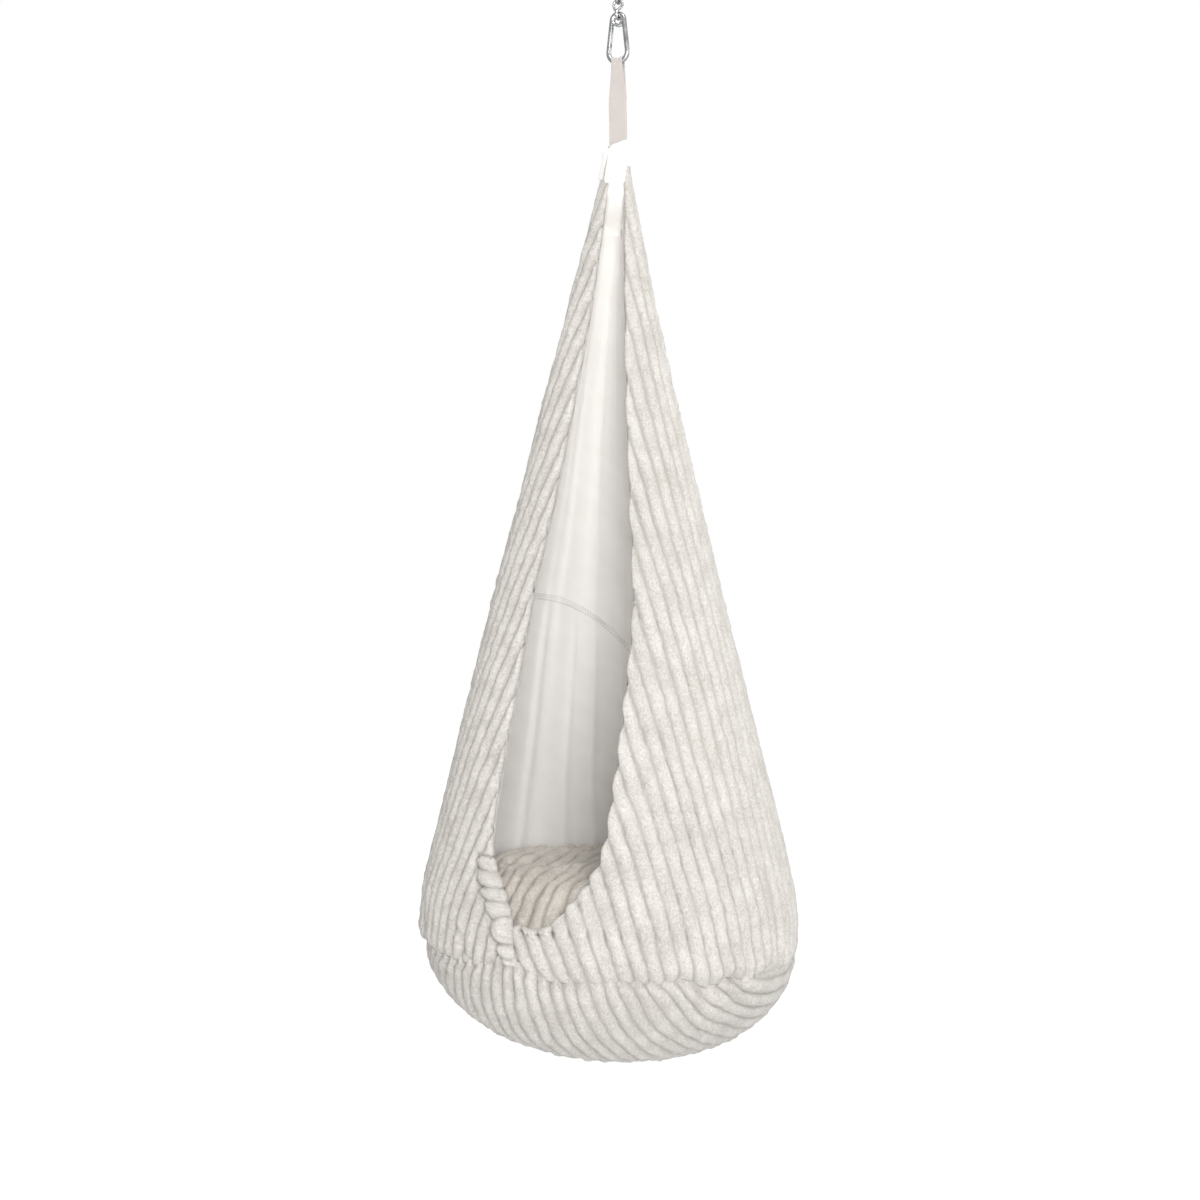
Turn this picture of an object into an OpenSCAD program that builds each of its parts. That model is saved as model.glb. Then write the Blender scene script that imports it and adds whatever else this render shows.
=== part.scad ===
// Hanging pod chair: a teardrop of ribbed plush with a round cushion in its bowl.
// It hangs on a webbing loop, a snap hook, two twisted links and a ceiling swivel.
// Z is up, the entrance faces -Y, and the origin is the top face of the ceiling plate.
// Angles around the pod start at the front and grow towards +X.

/* [Ceiling fitting] */
// Diameter of the plate that screws to the ceiling
plate_d = 78; // [74:1:100]
// Thickness of the plate
plate_t = 4; // [3:0.5:6]
// Diameter of the circle through the screw holes
bolt_circle_d = 60; // [56:1:64]
// Diameter of each screw hole
bolt_hole_d = 6.5; // [5:0.5:8]
// Number of screw holes
bolt_count = 4; // [3:1:6]
// Outer diameter of the bearing cup under the plate
housing_d = 40; // [38:1:44]
// Wall of the bearing cup
housing_wall = 3; // [2.5:0.5:4]
// Thickness of the floor of the cup
floor_t = 4; // [3:0.5:6]
// Diameter of the swivel's stem
stem_d = 10; // [9:0.5:11]
// Thickness of each bearing race
race_t = 3; // [2.5:0.5:4]
// Diameter of the bearing balls
ball_d = 5; // [4.5:0.5:5]
// Number of bearing balls
ball_count = 12; // [8:1:12]
// Depth of the ball groove in each race
groove_t = 1; // [0.8:0.1:1.2]
// Thickness of the ball cage
cage_t = 1.6; // [1.2:0.1:2]
// Thickness of the washer under the nut
washer_t = 1.6; // [1:0.1:2.5]
// Width of the lock nut across its flats
nut_flats = 16; // [15:0.5:18]
// Height of the lock nut
nut_t = 7; // [5:0.5:9]
// Diameter of the collar under the cup
collar_d = 17; // [14:0.5:20]
// Height of the collar
collar_t = 3; // [2:0.5:5]
// Diameter of the swivel eye's wire
eye_wire_d = 7; // [6:0.5:7.5]
// Clear diameter inside the swivel eye
eye_clear_d = 15; // [13:0.5:18]

/* [Chain] */
// Diameter of the link wire
link_wire_d = 4.6; // [4:0.1:5]
// Clear width inside a link
link_clear_w = 10.4; // [10:0.1:12]
// Clear length inside a link
link_clear_len = 26; // [24:0.5:34]

/* [Snap hook] */
// Diameter of the hook's wire
hook_wire_d = 8; // [7.6:0.1:8.2]
// Overall length of the hook
hook_len = 86.6; // [80:0.2:96]
// Radius of the wire's centre line round the eyelet
top_bow_r = 10.5; // [10.2:0.1:11.5]
// Radius of the wire's centre line in the wide end
low_bow_r = 16.5; // [15:0.25:18]
// Radius of the round nose of the eyelet's section
eyelet_round_r = 4.8; // [4.5:0.1:4.9]
// Radius of the hole in the eyelet
eyelet_hole_r = 4.9; // [4.7:0.1:5.1]
// Distance from the eyelet's centre down to the top of the gate
gate_top_drop = 11.8; // [11:0.2:14]
// Distance from the eyelet's centre down to the end of the gate
gate_end_drop = 43.5; // [42:0.5:45]
// Diameter of the gate's rivet
rivet_d = 3; // [2.4:0.1:3.2]
// Thickness of the tongue in the gate's joint
tongue_t = 3; // [2.4:0.1:3.2]
// Thickness of the catch that the gate closes on
catch_t = 2.6; // [2:0.1:3]
// Length of the catch beyond the hook's nose
catch_len = 5.2; // [4.5:0.1:6]
// Diameter of the cross pin in the gate
latch_pin_d = 2; // [1.5:0.1:2.2]
// Diameter of the spring's bore in the gate
spring_bore_d = 4.4; // [4:0.1:4.6]
// Wire of the gate's spring
spring_wire_d = 0.5; // [0.4:0.05:0.6]
// Turns of the gate's spring
spring_turns = 6; // [4:1:7]
// Length of the plunger between the spring and the tongue
plunger_len = 5; // [4:0.5:7]

/* [Webbing loop] */
// Width of the webbing
strap_w = 30; // [28:0.5:30]
// Width of the webbing where it is cupped in the hook
strap_cupped_w = 19; // [16:0.5:20]
// Thickness of one layer of webbing
strap_t = 2.3; // [2:0.1:2.5]
// Drop from the hook's wire to the top of the pod
strap_drop = 137; // [120:1:220]
// Length of the webbing that is sewn into the neck
strap_tail = 32; // [24:1:36]

/* [Pod] */
// Height of the fabric pod from its neck to its lowest point
pod_h = 1474; // [1440:2:1520]
// Depth of the widest ring below the neck
widest_drop = 1260; // [1230:2:1275]
// Radius that the cone grows towards at its widest ring
pod_r = 304.5; // [280:0.5:320]
// Half width of the neck
neck_half_w = 20.9; // [20.5:0.1:23]
// Half depth of the neck
neck_half_d = 15; // [14.5:0.1:17]
// Height over which the cone rounds off into its widest ring
shoulder_h = 80; // [60:1:110]
// Roundness of the bowl, where 2 is an ellipse
bowl_power = 2.3; // [2:0.05:2.6]
// Depth of the seam round the base below the neck
base_seam_drop = 1302; // [1290:1:1310]
// How far the pod's middle hangs towards -X from its strap
lean = 15; // [0:0.5:18]
// Slope of the base from left to right, as drop over width
tilt = 0.05; // [0:0.005:0.06]

/* [Plush] */
// Distance from one rib of the plush to the next
wale_pitch = 25; // [24:0.5:36]
// Height of a rib above the groove beside it
wale_depth = 5; // [3:0.5:6]
// Thickness of the plush from its backing to the top of a rib
plush_t = 8.5; // [8:0.5:10]
// Thickness of the plush where it is gathered at the neck
neck_plush_t = 4; // [3.5:0.1:4.2]
// Direction that the ribs of a side panel run down, from the front
grain_angle = 98; // [92:1:104]

/* [Lining and cushion] */
// Thickness of the lining
lining_t = 1.5; // [1:0.1:2]
// Thickness of the gathers that hold the lining off the plush
lining_gap = 2; // [1.8:0.1:2.5]
// Depth of the upper lining's seam below the neck at the left
lining_seam_drop = 740; // [640:5:840]
// How much further that seam drops on its way round to the back
lining_seam_dip = 200; // [0:5:220]
// Depth of the cushion's crown below the neck
crown_drop = 1186; // [1176:1:1200]
// Depth of the cushion's side seam below the neck
cushion_seam_drop = 1264; // [1262:1:1276]
// Thickness of the cushion's cover
cover_t = 5; // [4:0.5:6]
// Room at the side between the cushion and the lining that it sits in
cushion_gap = 3; // [2.8:0.1:5]

/* [Hidden] */

$fn = 64;
steel = [0.72, 0.73, 0.74];
dark_steel = [0.5, 0.51, 0.53];
webbing = [0.87, 0.85, 0.82];
plush = [0.93, 0.92, 0.9];
cotton = [0.95, 0.94, 0.93];

// Clearances
run_gap = 0.08;      // a turning shaft in its bore
fit_gap = 0.05;      // a pressed or sewn fit
seat_gap = 0.3;      // between pieces that bear on each other and move
soft_gap = 0.9;      // between a soft layer and the one that it lies on
overlap = 0.05;      // how far joined shapes run into each other
leg_joint = 0.3;     // length of wire that a joint ball fills between a leg and its bow

// Heights of the ceiling fitting, from the ceiling down
housing_h = floor_t + 2 * race_t + ball_d - 2 * groove_t + washer_t + nut_t + 2.4;
cup_floor_z = -plate_t - housing_h + floor_t;
housing_in_r = housing_d / 2 - housing_wall;
lower_race_z = cup_floor_z + race_t;
ball_z = lower_race_z + ball_d / 2 - groove_t;
upper_race_z = ball_z + ball_d / 2 - groove_t;
washer_z = upper_race_z + race_t;
nut_z = washer_z + washer_t;
ball_ring_r = (housing_in_r + stem_d / 2) / 2;
collar_z = -plate_t - housing_h - seat_gap;
eye_r = (eye_clear_d + eye_wire_d) / 2;
eye_z = collar_z - collar_t - eye_r + overlap;

// Heights of the chain and the hook
link_bend_r = (link_clear_w + link_wire_d) / 2;
link_span = link_clear_len + link_wire_d;
eye_low_z = eye_z - eye_r;
upper_link_top_z = eye_low_z + (eye_wire_d + link_wire_d) / 2 + seat_gap;
upper_link_low_z = upper_link_top_z - link_span;
lower_link_top_z = upper_link_low_z + link_wire_d + seat_gap;
lower_link_low_z = lower_link_top_z - link_span;
eyelet_z = lower_link_low_z - (eyelet_hole_r - link_wire_d / 2 - seat_gap);

// The hook's two bows and the straight legs that touch both
hook_r = hook_wire_d / 2;
bow_span = hook_len - hook_wire_d - top_bow_r - low_bow_r;
low_bow_z = eyelet_z - bow_span;
leg_angle = asin((low_bow_r - top_bow_r) / bow_span);
leg_len = bow_span * cos(leg_angle);
hook_low_z = low_bow_z - low_bow_r;

// Places along the gate's leg, measured down the leg from its top
leg_top_z = top_bow_r * sin(leg_angle);
gate_from = (leg_top_z + gate_top_drop) / cos(leg_angle);
gate_to = (leg_top_z + gate_end_drop) / cos(leg_angle);
rivet_at = gate_from + seat_gap + hook_r;
tongue_r = hook_r - 0.4;
latch_at = gate_to - catch_len / 2;
plunger_from = rivet_at + tongue_r + fit_gap;
spring_from = plunger_from + plunger_len + fit_gap;
spring_len = 9;
spring_r = spring_bore_d / 2 - spring_wire_d / 2 - 0.15;
spring_pitch = (spring_len - spring_wire_d) / spring_turns;
echo(str("least gap between the gate spring's turns: ", spring_pitch - spring_wire_d));

// The webbing's saddle over the hook's wire
saddle_play = 2;
saddle_shift = saddle_play - 0.6;
saddle_r = low_bow_r + saddle_shift;
saddle_in_r = hook_r + saddle_play;
saddle_out_r = saddle_in_r + strap_t;
saddle_angle = asin(strap_cupped_w / 2 / saddle_r) + 1;
strap_spread_len = 62;
strap_close_len = 52;

// The pod's outline
pod_z = hook_low_z - strap_drop;
cone_start_r = 3.1;
cone_slope = (pod_r - cone_start_r) / (widest_drop - shoulder_h / 2);
cone_sine = sin(atan(cone_slope));
bowl_h = pod_h - widest_drop;
neck_blend_h = 150;
lean_h = 600;
seam_gap = 0.6;

function cone_r(h) = cone_start_r + cone_slope * h;
function neck_r(h) = sqrt(pow(cone_r(h), 2) + pow(neck_half_w, 2));
function smooth(t) = let (s = min(1, max(0, t))) s * s * (3 - 2 * s);
widest_r = neck_r(widest_drop) - cone_slope * shoulder_h / 2;

// Radius at depth h of the skin that lies a given distance inside the outer one
function pod_radius(h, inside) =
    h <= widest_drop - shoulder_h ? neck_r(h) - inside
    : h <= widest_drop
        ? neck_r(h) - cone_slope * pow(h - widest_drop + shoulder_h, 2) / (2 * shoulder_h) - inside
    : (widest_r - inside)
        * pow(1 - pow((h - widest_drop) / (bowl_h - inside), bowl_power), 1 / bowl_power);

// Depth of the bowl at radius r, for a skin that lies inside the outer one by a given
// distance at the side and by another one at the bottom
function bowl_drop(r, inside, lift) = widest_drop + (bowl_h - lift)
    * pow(max(0, 1 - pow(r / (widest_r - inside), bowl_power)), 1 / bowl_power);

// The neck is an oval and the rest is round
function neck_oval(h) = sqrt(pow(cone_r(h), 2) + pow(neck_half_d, 2)) / neck_r(h);

function lean_share(h) = 1 - pow(1 - min(1, h / lean_h), 2);

// A point of the pod, leaning and tilted the way it hangs
function place(x, y, h) = [x - lean * lean_share(h), y * neck_oval(h),
    pod_z - h - tilt * smooth(h / 1100) * x];
function skin(angle, h, inside) = let (r = pod_radius(h, inside))
    place(r * sin(angle), -r * cos(angle), h);
function plush_at(h) = neck_plush_t + (plush_t - neck_plush_t) * smooth(h / neck_blend_h);

// Edges of the entrance: depth below the neck, then angle round the pod. The depths are
// drawn for a base seam at drawn_seam_drop and follow the real one.
drawn_seam_drop = 1302;
function to_seam(drawn) = [for (p = drawn) [p[0] * base_seam_drop / drawn_seam_drop, p[1]]];
left_edge = to_seam([[0, -18], [60, -12], [130, -6], [260, -5], [420, -9], [560, -12],
    [720, -17.5], [1080, -18], [1140, -14.5], [1200, -6.5], [1232, -2.2], [1302, 3.65]]);
right_edge = to_seam([[0, 78], [60, 53], [130, 46], [200, 40], [330, 38], [480, 35.5],
    [740, 34.5], [900, 28.5], [1080, 22], [1150, 17.5], [1200, 11], [1225, 3], [1236, -1.7],
    [1302, 3.8]]);
edge_cross = right_edge[len(right_edge) - 2][0];
entrance_low = 1100 * base_seam_drop / drawn_seam_drop;
entrance_mid = entrance_low * 7 / 11;

// Distance along the panel's cloth from the point of the cone
function cloth_len(h) = (h + cone_start_r / cone_slope) * sqrt(1 + cone_slope * cone_slope);

// Angle at depth h of the straight rib that lies across cloth from the grain line
function rib_angle(across, h) = let (q = across / cloth_len(h))
    grain_angle + (abs(q) >= 1 ? sign(q) * 360 : asin(q) / cone_sine);
function front_edge(side, h) = side > 0 ? lookup(h, right_edge) : -lookup(h, left_edge);
back_edge = 180 - 0.12;
function in_panel(side, across, h) = let (a = rib_angle(across, h))
    a > front_edge(side, h) && a < back_edge;

// Depth at which a rib enters its panel, by halving
function rib_start(side, across, lo, hi, n) = n == 0 ? hi
    : let (mid = (lo + hi) / 2)
        in_panel(side, across, mid) ? rib_start(side, across, lo, mid, n - 1)
        : rib_start(side, across, mid, hi, n - 1);

// Closed solid between two grids of points, outer[column][row] and inner[column][row].
// The inner grid has only the columns that keep lists, from the first to the last.
function quad(a, b, c, d) = [[a, b, c], [a, c, d]];
module slab(outer, inner, keep) {
    nu = len(outer);
    nv = len(outer[0]);
    nk = len(keep);
    m = nu * nv;
    points = concat([for (line = outer) each line], [for (k = keep) each inner[k]]);
    // Rim along one row: the outer points of each inner step fan out from its two ends
    function rim(row) = [for (j = [0:nk - 2]) let (
        a = keep[j], b = keep[j + 1], mid = floor((a + b) / 2),
        ia = m + j * nv + row, ib = m + (j + 1) * nv + row)
        each concat([for (k = [a:b - 1]) [k * nv + row, (k + 1) * nv + row, k < mid ? ia : ib]],
            [[ia, mid * nv + row, ib]])];
    function back(list) = [for (f = list) [f[2], f[1], f[0]]];
    faces = concat(
        [for (k = [0:nu - 2], i = [0:nv - 2]) let (a = k * nv + i)
            each quad(a, a + nv, a + nv + 1, a + 1)],
        [for (j = [0:nk - 2], i = [0:nv - 2]) let (a = m + j * nv + i)
            each quad(a + 1, a + nv + 1, a + nv, a)],
        [for (i = [0:nv - 2]) each quad(i, i + 1, m + i + 1, m + i)],
        [for (i = [0:nv - 2]) let (a = (nu - 1) * nv + i, c = m + (nk - 1) * nv + i)
            each quad(a + 1, a, c, c + 1)],
        back(rim(0)), rim(nv - 1));
    polyhedron(points, faces, convexity = 8);
}
// Closed tube through rings of points, either looped or with flat ends
module swept(rings, looped) {
    n = len(rings);
    m = len(rings[0]);
    last = looped ? n - 1 : n - 2;
    sides = [for (i = [0:last], k = [0:m - 1]) let (j = (i + 1) % n, l = (k + 1) % m)
        each quad(i * m + k, i * m + l, j * m + l, j * m + k)];
    ends = looped ? [] : [[for (k = [m - 1:-1:0]) k], [for (k = [0:m - 1]) (n - 1) * m + k]];
    polyhedron([for (ring = rings) each ring], concat(sides, ends), convexity = 8);
}
function unit(v) = v / norm(v);

// Ceiling fitting

module ceiling_plate() {
    color(steel) difference() {
        translate([0, 0, -plate_t]) cylinder(d = plate_d, h = plate_t);
        for (i = [0:bolt_count - 1])
            rotate([0, 0, 45 + i * 360 / bolt_count])
                translate([bolt_circle_d / 2, 0, -plate_t - 1])
                    cylinder(d = bolt_hole_d, h = plate_t + 2);
    }
}

module bearing_housing() {
    chamfer = 2;
    color(steel) rotate_extrude() polygon([
        [stem_d / 2 + run_gap, -plate_t - housing_h],
        [housing_d / 2 - chamfer, -plate_t - housing_h],
        [housing_d / 2, -plate_t - housing_h + chamfer],
        [housing_d / 2, -plate_t],
        [housing_in_r, -plate_t],
        [housing_in_r, cup_floor_z],
        [stem_d / 2 + run_gap, cup_floor_z]]);
}

module race(top_z, bore_r, rim_r) {
    color(dark_steel) rotate_extrude() difference() {
        translate([bore_r, top_z - race_t]) square([rim_r - bore_r, race_t]);
        translate([ball_ring_r, ball_z]) circle(d = ball_d + 2 * run_gap);
    }
}

module lower_race() {
    race(lower_race_z, stem_d / 2 + 0.5, housing_in_r - fit_gap);
}

module upper_race() {
    race(washer_z, stem_d / 2 + fit_gap, housing_in_r - 0.6);
}

module bearing_balls() {
    color(steel) for (i = [0:ball_count - 1])
        rotate([0, 0, i * 360 / ball_count]) translate([ball_ring_r, 0, ball_z])
            sphere(d = ball_d);
}

module ball_cage() {
    half_w = ball_d / 2 + 1;
    color("goldenrod") difference() {
        translate([0, 0, ball_z - cage_t / 2]) cylinder(r = ball_ring_r + half_w, h = cage_t);
        translate([0, 0, ball_z - cage_t]) cylinder(r = ball_ring_r - half_w, h = 2 * cage_t);
        for (i = [0:ball_count - 1])
            rotate([0, 0, i * 360 / ball_count])
                translate([ball_ring_r, 0, ball_z - cage_t])
                    cylinder(d = ball_d + 2 * fit_gap, h = 2 * cage_t);
    }
}

module thrust_washer() {
    color(steel) translate([0, 0, washer_z]) difference() {
        cylinder(d = nut_flats + 6, h = washer_t);
        translate([0, 0, -1]) cylinder(r = stem_d / 2 + fit_gap, h = washer_t + 2);
    }
}

module lock_nut() {
    collar_h = 1.6;
    color(dark_steel) translate([0, 0, nut_z]) difference() {
        union() {
            cylinder(d = nut_flats / cos(30), h = nut_t - collar_h, $fn = 6);
            cylinder(d = nut_flats - 1.5, h = nut_t);
        }
        translate([0, 0, -1]) cylinder(r = stem_d / 2 + fit_gap, h = nut_t + 2);
    }
}

module swivel_eye() {
    stem_top_z = nut_z + nut_t + 1;
    color(steel) {
        translate([0, 0, collar_z - collar_t]) cylinder(d = collar_d, h = collar_t);
        translate([0, 0, collar_z - overlap])
            cylinder(d = stem_d, h = stem_top_z - collar_z + overlap);
        translate([0, 0, eye_z]) rotate([0, 90, 0]) rotate_extrude()
            translate([eye_r, 0]) circle(d = eye_wire_d);
        translate([0, 0, collar_z - collar_t - eye_wire_d / 2])
            cylinder(d = eye_wire_d + 1.5, h = eye_wire_d / 2 + overlap);
    }
}

// Twisted links: an oval of wire, turned a quarter turn from its low bend to its top bend

link_sides = 10;
bend_steps = 7;
leg_steps = 5;
function oval_path(r, span) = concat(
    [for (i = [0:bend_steps]) let (a = 180 + 180 * i / bend_steps) [r * cos(a), r + r * sin(a)]],
    [for (i = [1:leg_steps]) [r, r + (span - 2 * r) * i / (leg_steps + 1)]],
    [for (i = [0:bend_steps]) let (a = 180 * i / bend_steps)
        [r * cos(a), span - r + r * sin(a)]],
    [for (i = [leg_steps:-1:1]) [-r, r + (span - 2 * r) * i / (leg_steps + 1)]]);
function link_turn(v) = -90 + 90 * smooth((v - link_bend_r) / (link_span - 2 * link_bend_r));
function link_point(p) = let (a = link_turn(p[1])) [p[0] * cos(a), p[0] * sin(a), p[1]];

module twisted_link(low_z) {
    path = oval_path(link_bend_r, link_span);
    n = len(path);
    rings = [for (i = [0:n - 1]) let (
        here = link_point(path[i]),
        along = unit(link_point(path[(i + 1) % n]) - link_point(path[(i + n - 1) % n])),
        a = link_turn(path[i][1]),
        side = unit(cross([-sin(a), cos(a), 0], along)),
        up = cross(along, side))
        [for (k = [0:link_sides - 1]) let (t = 360 * k / link_sides)
            here + link_wire_d / 2 * (side * cos(t) + up * sin(t))]];
    color(steel) translate([0, 0, low_z]) swept(rings, true);
}

module upper_link() { twisted_link(upper_link_low_z); }
module lower_link() { twisted_link(lower_link_low_z); }

// Snap hook: a pear of wire with an eyelet, and a sprung gate in its left leg

module in_hook_plane(z) { translate([0, 0, z]) rotate([90, 0, 0]) children(); }
module bow(r, from, sweep) {
    trim = leg_joint / 2 / r * 180 / PI;
    rotate([0, 0, from + trim]) rotate_extrude(angle = sweep - 2 * trim)
        translate([r, 0]) circle(r = hook_r);
}
// Frame of the gate's leg: X points into the hook, and Z up the leg to its top
module on_gate_leg() {
    translate([-top_bow_r * cos(leg_angle), 0, eyelet_z + leg_top_z])
        rotate([0, leg_angle, 0]) children();
}
// Stretch of a leg, and the ball that joins the end of a leg to its bow
module leg(from, to) { translate([0, 0, -to]) cylinder(r = hook_r, h = to - from); }
module joint_ball(at) { translate([0, 0, -at]) sphere(r = hook_r + leg_joint / 10); }

module hook_body() {
    color(steel) difference() {
        union() {
            in_hook_plane(eyelet_z) bow(top_bow_r, leg_angle, 180 - 2 * leg_angle);
            in_hook_plane(low_bow_z) bow(low_bow_r, 180 - leg_angle, 180 + 2 * leg_angle);
            mirror([1, 0, 0]) on_gate_leg() {
                joint_ball(0);
                leg(leg_joint / 2, leg_len - leg_joint / 2);
                joint_ball(leg_len);
            }
            on_gate_leg() {
                joint_ball(0);
                leg(leg_joint / 2, gate_from);
                leg(gate_to, leg_len - leg_joint / 2);
                joint_ball(leg_len);
                gate_tongue();
                gate_catch();
            }
        }
        on_gate_leg() translate([0, 0, -rivet_at]) rotate([90, 0, 0])
            cylinder(d = rivet_d + 2 * run_gap, h = 2 * hook_wire_d, center = true);
    }
}

module gate_tongue() {
    translate([0, 0, -rivet_at]) rotate([90, 0, 0]) linear_extrude(tongue_t, center = true)
        union() {
            circle(r = tongue_r);
            translate([-tongue_r, 0]) square([2 * tongue_r, rivet_at - gate_from + 1]);
        }
}

module gate_catch() {
    half_w = 2.6;
    difference() {
        translate([-half_w, -catch_t / 2, -gate_to - 1])
            cube([2 * half_w, catch_t, catch_len + 1]);
        translate([0, 0, -latch_at]) rotate([90, 0, 0])
            linear_extrude(2 * catch_t, center = true) union() {
                circle(d = latch_pin_d + 0.6);
                translate([0, -latch_pin_d / 2 - 0.3]) square([hook_wire_d, latch_pin_d + 0.6]);
            }
    }
}

module hook_eyelet() {
    color([0.82, 0.82, 0.83]) in_hook_plane(eyelet_z) rotate_extrude() intersection() {
        difference() {
            translate([eyelet_hole_r + eyelet_round_r, 0]) circle(r = eyelet_round_r);
            translate([top_bow_r, 0]) circle(r = hook_r + fit_gap);
        }
        translate([0, -hook_wire_d])
            square([eyelet_hole_r + eyelet_round_r + 0.2, 2 * hook_wire_d]);
    }
}

module hook_gate() {
    slot_w = tongue_t + 2 * 0.15;
    catch_slot_w = catch_t + 2 * 0.2;
    slot_len = rivet_at + tongue_r + 0.6 - gate_from;
    gate_low = gate_to - seat_gap;
    color(steel) on_gate_leg() difference() {
        intersection() {
            translate([0, 0, -gate_low]) cylinder(r = hook_r, h = gate_low - gate_from);
            translate([0, 0, -rivet_at]) rotate([90, 0, 0])
                linear_extrude(2 * hook_wire_d, center = true) union() {
                    circle(r = hook_r);
                    translate([-hook_r, rivet_at - gate_low])
                        square([hook_wire_d, gate_low - rivet_at]);
                }
        }
        translate([-hook_wire_d, -slot_w / 2, -gate_from - slot_len])
            cube([2 * hook_wire_d, slot_w, slot_len + 1]);
        translate([-hook_wire_d, -catch_slot_w / 2, -gate_to - 1])
            cube([2 * hook_wire_d, catch_slot_w, catch_len + 1.6]);
        translate([0, 0, -spring_from - spring_len - fit_gap])
            cylinder(d = spring_bore_d, h = spring_from + spring_len - rivet_at);
        for (hole = [[rivet_at, rivet_d], [latch_at, latch_pin_d]])
            translate([0, 0, -hole[0]]) rotate([90, 0, 0])
                cylinder(d = hole[1] + 2 * 0.02, h = 2 * hook_wire_d, center = true);
    }
}

module cross_pin(at, d) {
    color(dark_steel) on_gate_leg() translate([0, 0, -at]) rotate([90, 0, 0])
        cylinder(d = d, h = hook_wire_d - 0.2, center = true);
}
module gate_rivet() { cross_pin(rivet_at, rivet_d); }
module latch_pin() { cross_pin(latch_at, latch_pin_d); }

module gate_plunger() {
    color(dark_steel) on_gate_leg() {
        translate([0, 0, -plunger_from - plunger_len])
            cylinder(d = spring_bore_d - 2 * fit_gap, h = plunger_len - 1);
        translate([0, 0, -plunger_from - 1 - overlap])
            cylinder(d = tongue_t - 0.4, h = 1 + overlap);
    }
}

module gate_spring() {
    sides = 6;
    per_turn = 8;
    low = -spring_from - spring_len + spring_wire_d / 2;
    rings = [for (i = [0:per_turn * spring_turns]) let (
        a = 360 * i / per_turn,
        out = [cos(a), sin(a), 0],
        along = unit([-sin(a) * spring_r, cos(a) * spring_r, spring_pitch / 360 * 180 / PI]),
        up = cross(out, along))
        [for (k = [0:sides - 1]) let (t = -360 * k / sides)
            out * spring_r + [0, 0, low + spring_pitch * i / per_turn]
                + spring_wire_d / 2 * (out * cos(t) + up * sin(t))]];
    color(dark_steel) on_gate_leg() swept(rings, false);
}

// Webbing loop: cupped over the hook's wire, closing to two layers sewn into the neck

module strap_loop() {
    steps = 10;
    tail_z = pod_z - strap_tail;
    function half_width(t) = strap_cupped_w / 2 + (strap_w - strap_cupped_w) / 2 * smooth(t);
    leg_t = strap_t - 0.2;
    function leg_in(t) = (saddle_in_r + 0.1) * (1 - smooth(t)) - overlap * smooth(4 * t - 3);
    close_z = low_bow_z - saddle_r - 1;
    spread_z = low_bow_z - saddle_r - 6;
    right = [for (i = [0:steps]) [half_width(i / steps), spread_z - strap_spread_len * i / steps]];
    inner = [for (i = [0:steps]) [leg_in(i / steps), close_z - strap_close_len * i / steps]];
    top_z = low_bow_z;
    color(webbing) {
        in_hook_plane(low_bow_z) rotate([0, 0, -90 - saddle_angle])
            rotate_extrude(angle = 2 * saddle_angle) intersection() {
                translate([saddle_r, 0]) difference() {
                    circle(r = saddle_out_r);
                    circle(r = saddle_in_r);
                }
                translate([saddle_r - saddle_out_r, -saddle_out_r])
                    square([saddle_out_r, 2 * saddle_out_r]);
            }
        difference() {
            intersection() {
                rotate([90, 0, 0]) linear_extrude(4 * saddle_out_r, center = true)
                    polygon(concat([[strap_cupped_w / 2, top_z]], right, [[strap_w / 2, tail_z],
                        [-strap_w / 2, tail_z]],
                        [for (i = [steps:-1:0]) [-right[i][0], right[i][1]]],
                        [[-strap_cupped_w / 2, top_z]]));
                for (side = [-1, 1])
                    rotate([90, 0, 90]) linear_extrude(2 * strap_w, center = true)
                        polygon(concat([[side * leg_in(0), top_z]],
                            [for (p = inner) [side * p[0], p[1]]],
                            [[-side * overlap, tail_z], [side * leg_t, tail_z]],
                            [for (i = [steps:-1:0])
                                [side * (max(0, inner[i][0]) + leg_t), inner[i][1]]],
                            [[side * (leg_in(0) + leg_t), top_z]]));
            }
            in_hook_plane(low_bow_z)
                cylinder(r = saddle_r - 0.5, h = 4 * saddle_out_r, center = true);
        }
    }
}

// Pod

module lining_top() {
    columns = 24;
    rows = [-1, 14, 30, 46];
    rings = [for (h = rows) [for (k = [columns - 1:-1:0])
        skin(360 * k / columns, h, plush_at(h) + 0.8 * lining_gap)]];
    slot_play = 0.2;
    color(cotton) difference() {
        swept(rings, false);
        translate([0, 0, pod_z - strap_tail / 2 - slot_play + 10])
            cube([strap_w + 2 * slot_play, 2 * (strap_t + slot_play), strap_tail + 20],
                center = true);
    }
}

// Side panel: each rib is a line of points from the panel's edge down to the base seam.
// Rows lie closer together at the top, where a rib turns round the cone faster.
top_steps = 5;
shoulder_rows = [0.5, 1];
neck_fills = [-8, -5, -2.5, -1, 1, 2.5, 4.2, 8];
function rib_row(start, low, i) = let (
    mid = max(widest_drop - shoulder_h, start + 0.6 * (low - start)),
    a = pow(cloth_len(start), -0.25), b = pow(cloth_len(mid), -0.25))
    i > top_steps ? mid + (low - mid) * shoulder_rows[i - top_steps - 1]
    : start + (mid - start) * (pow(a + (b - a) * i / top_steps, -4) - pow(a, -4))
        / (pow(b, -4) - pow(a, -4));

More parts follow.
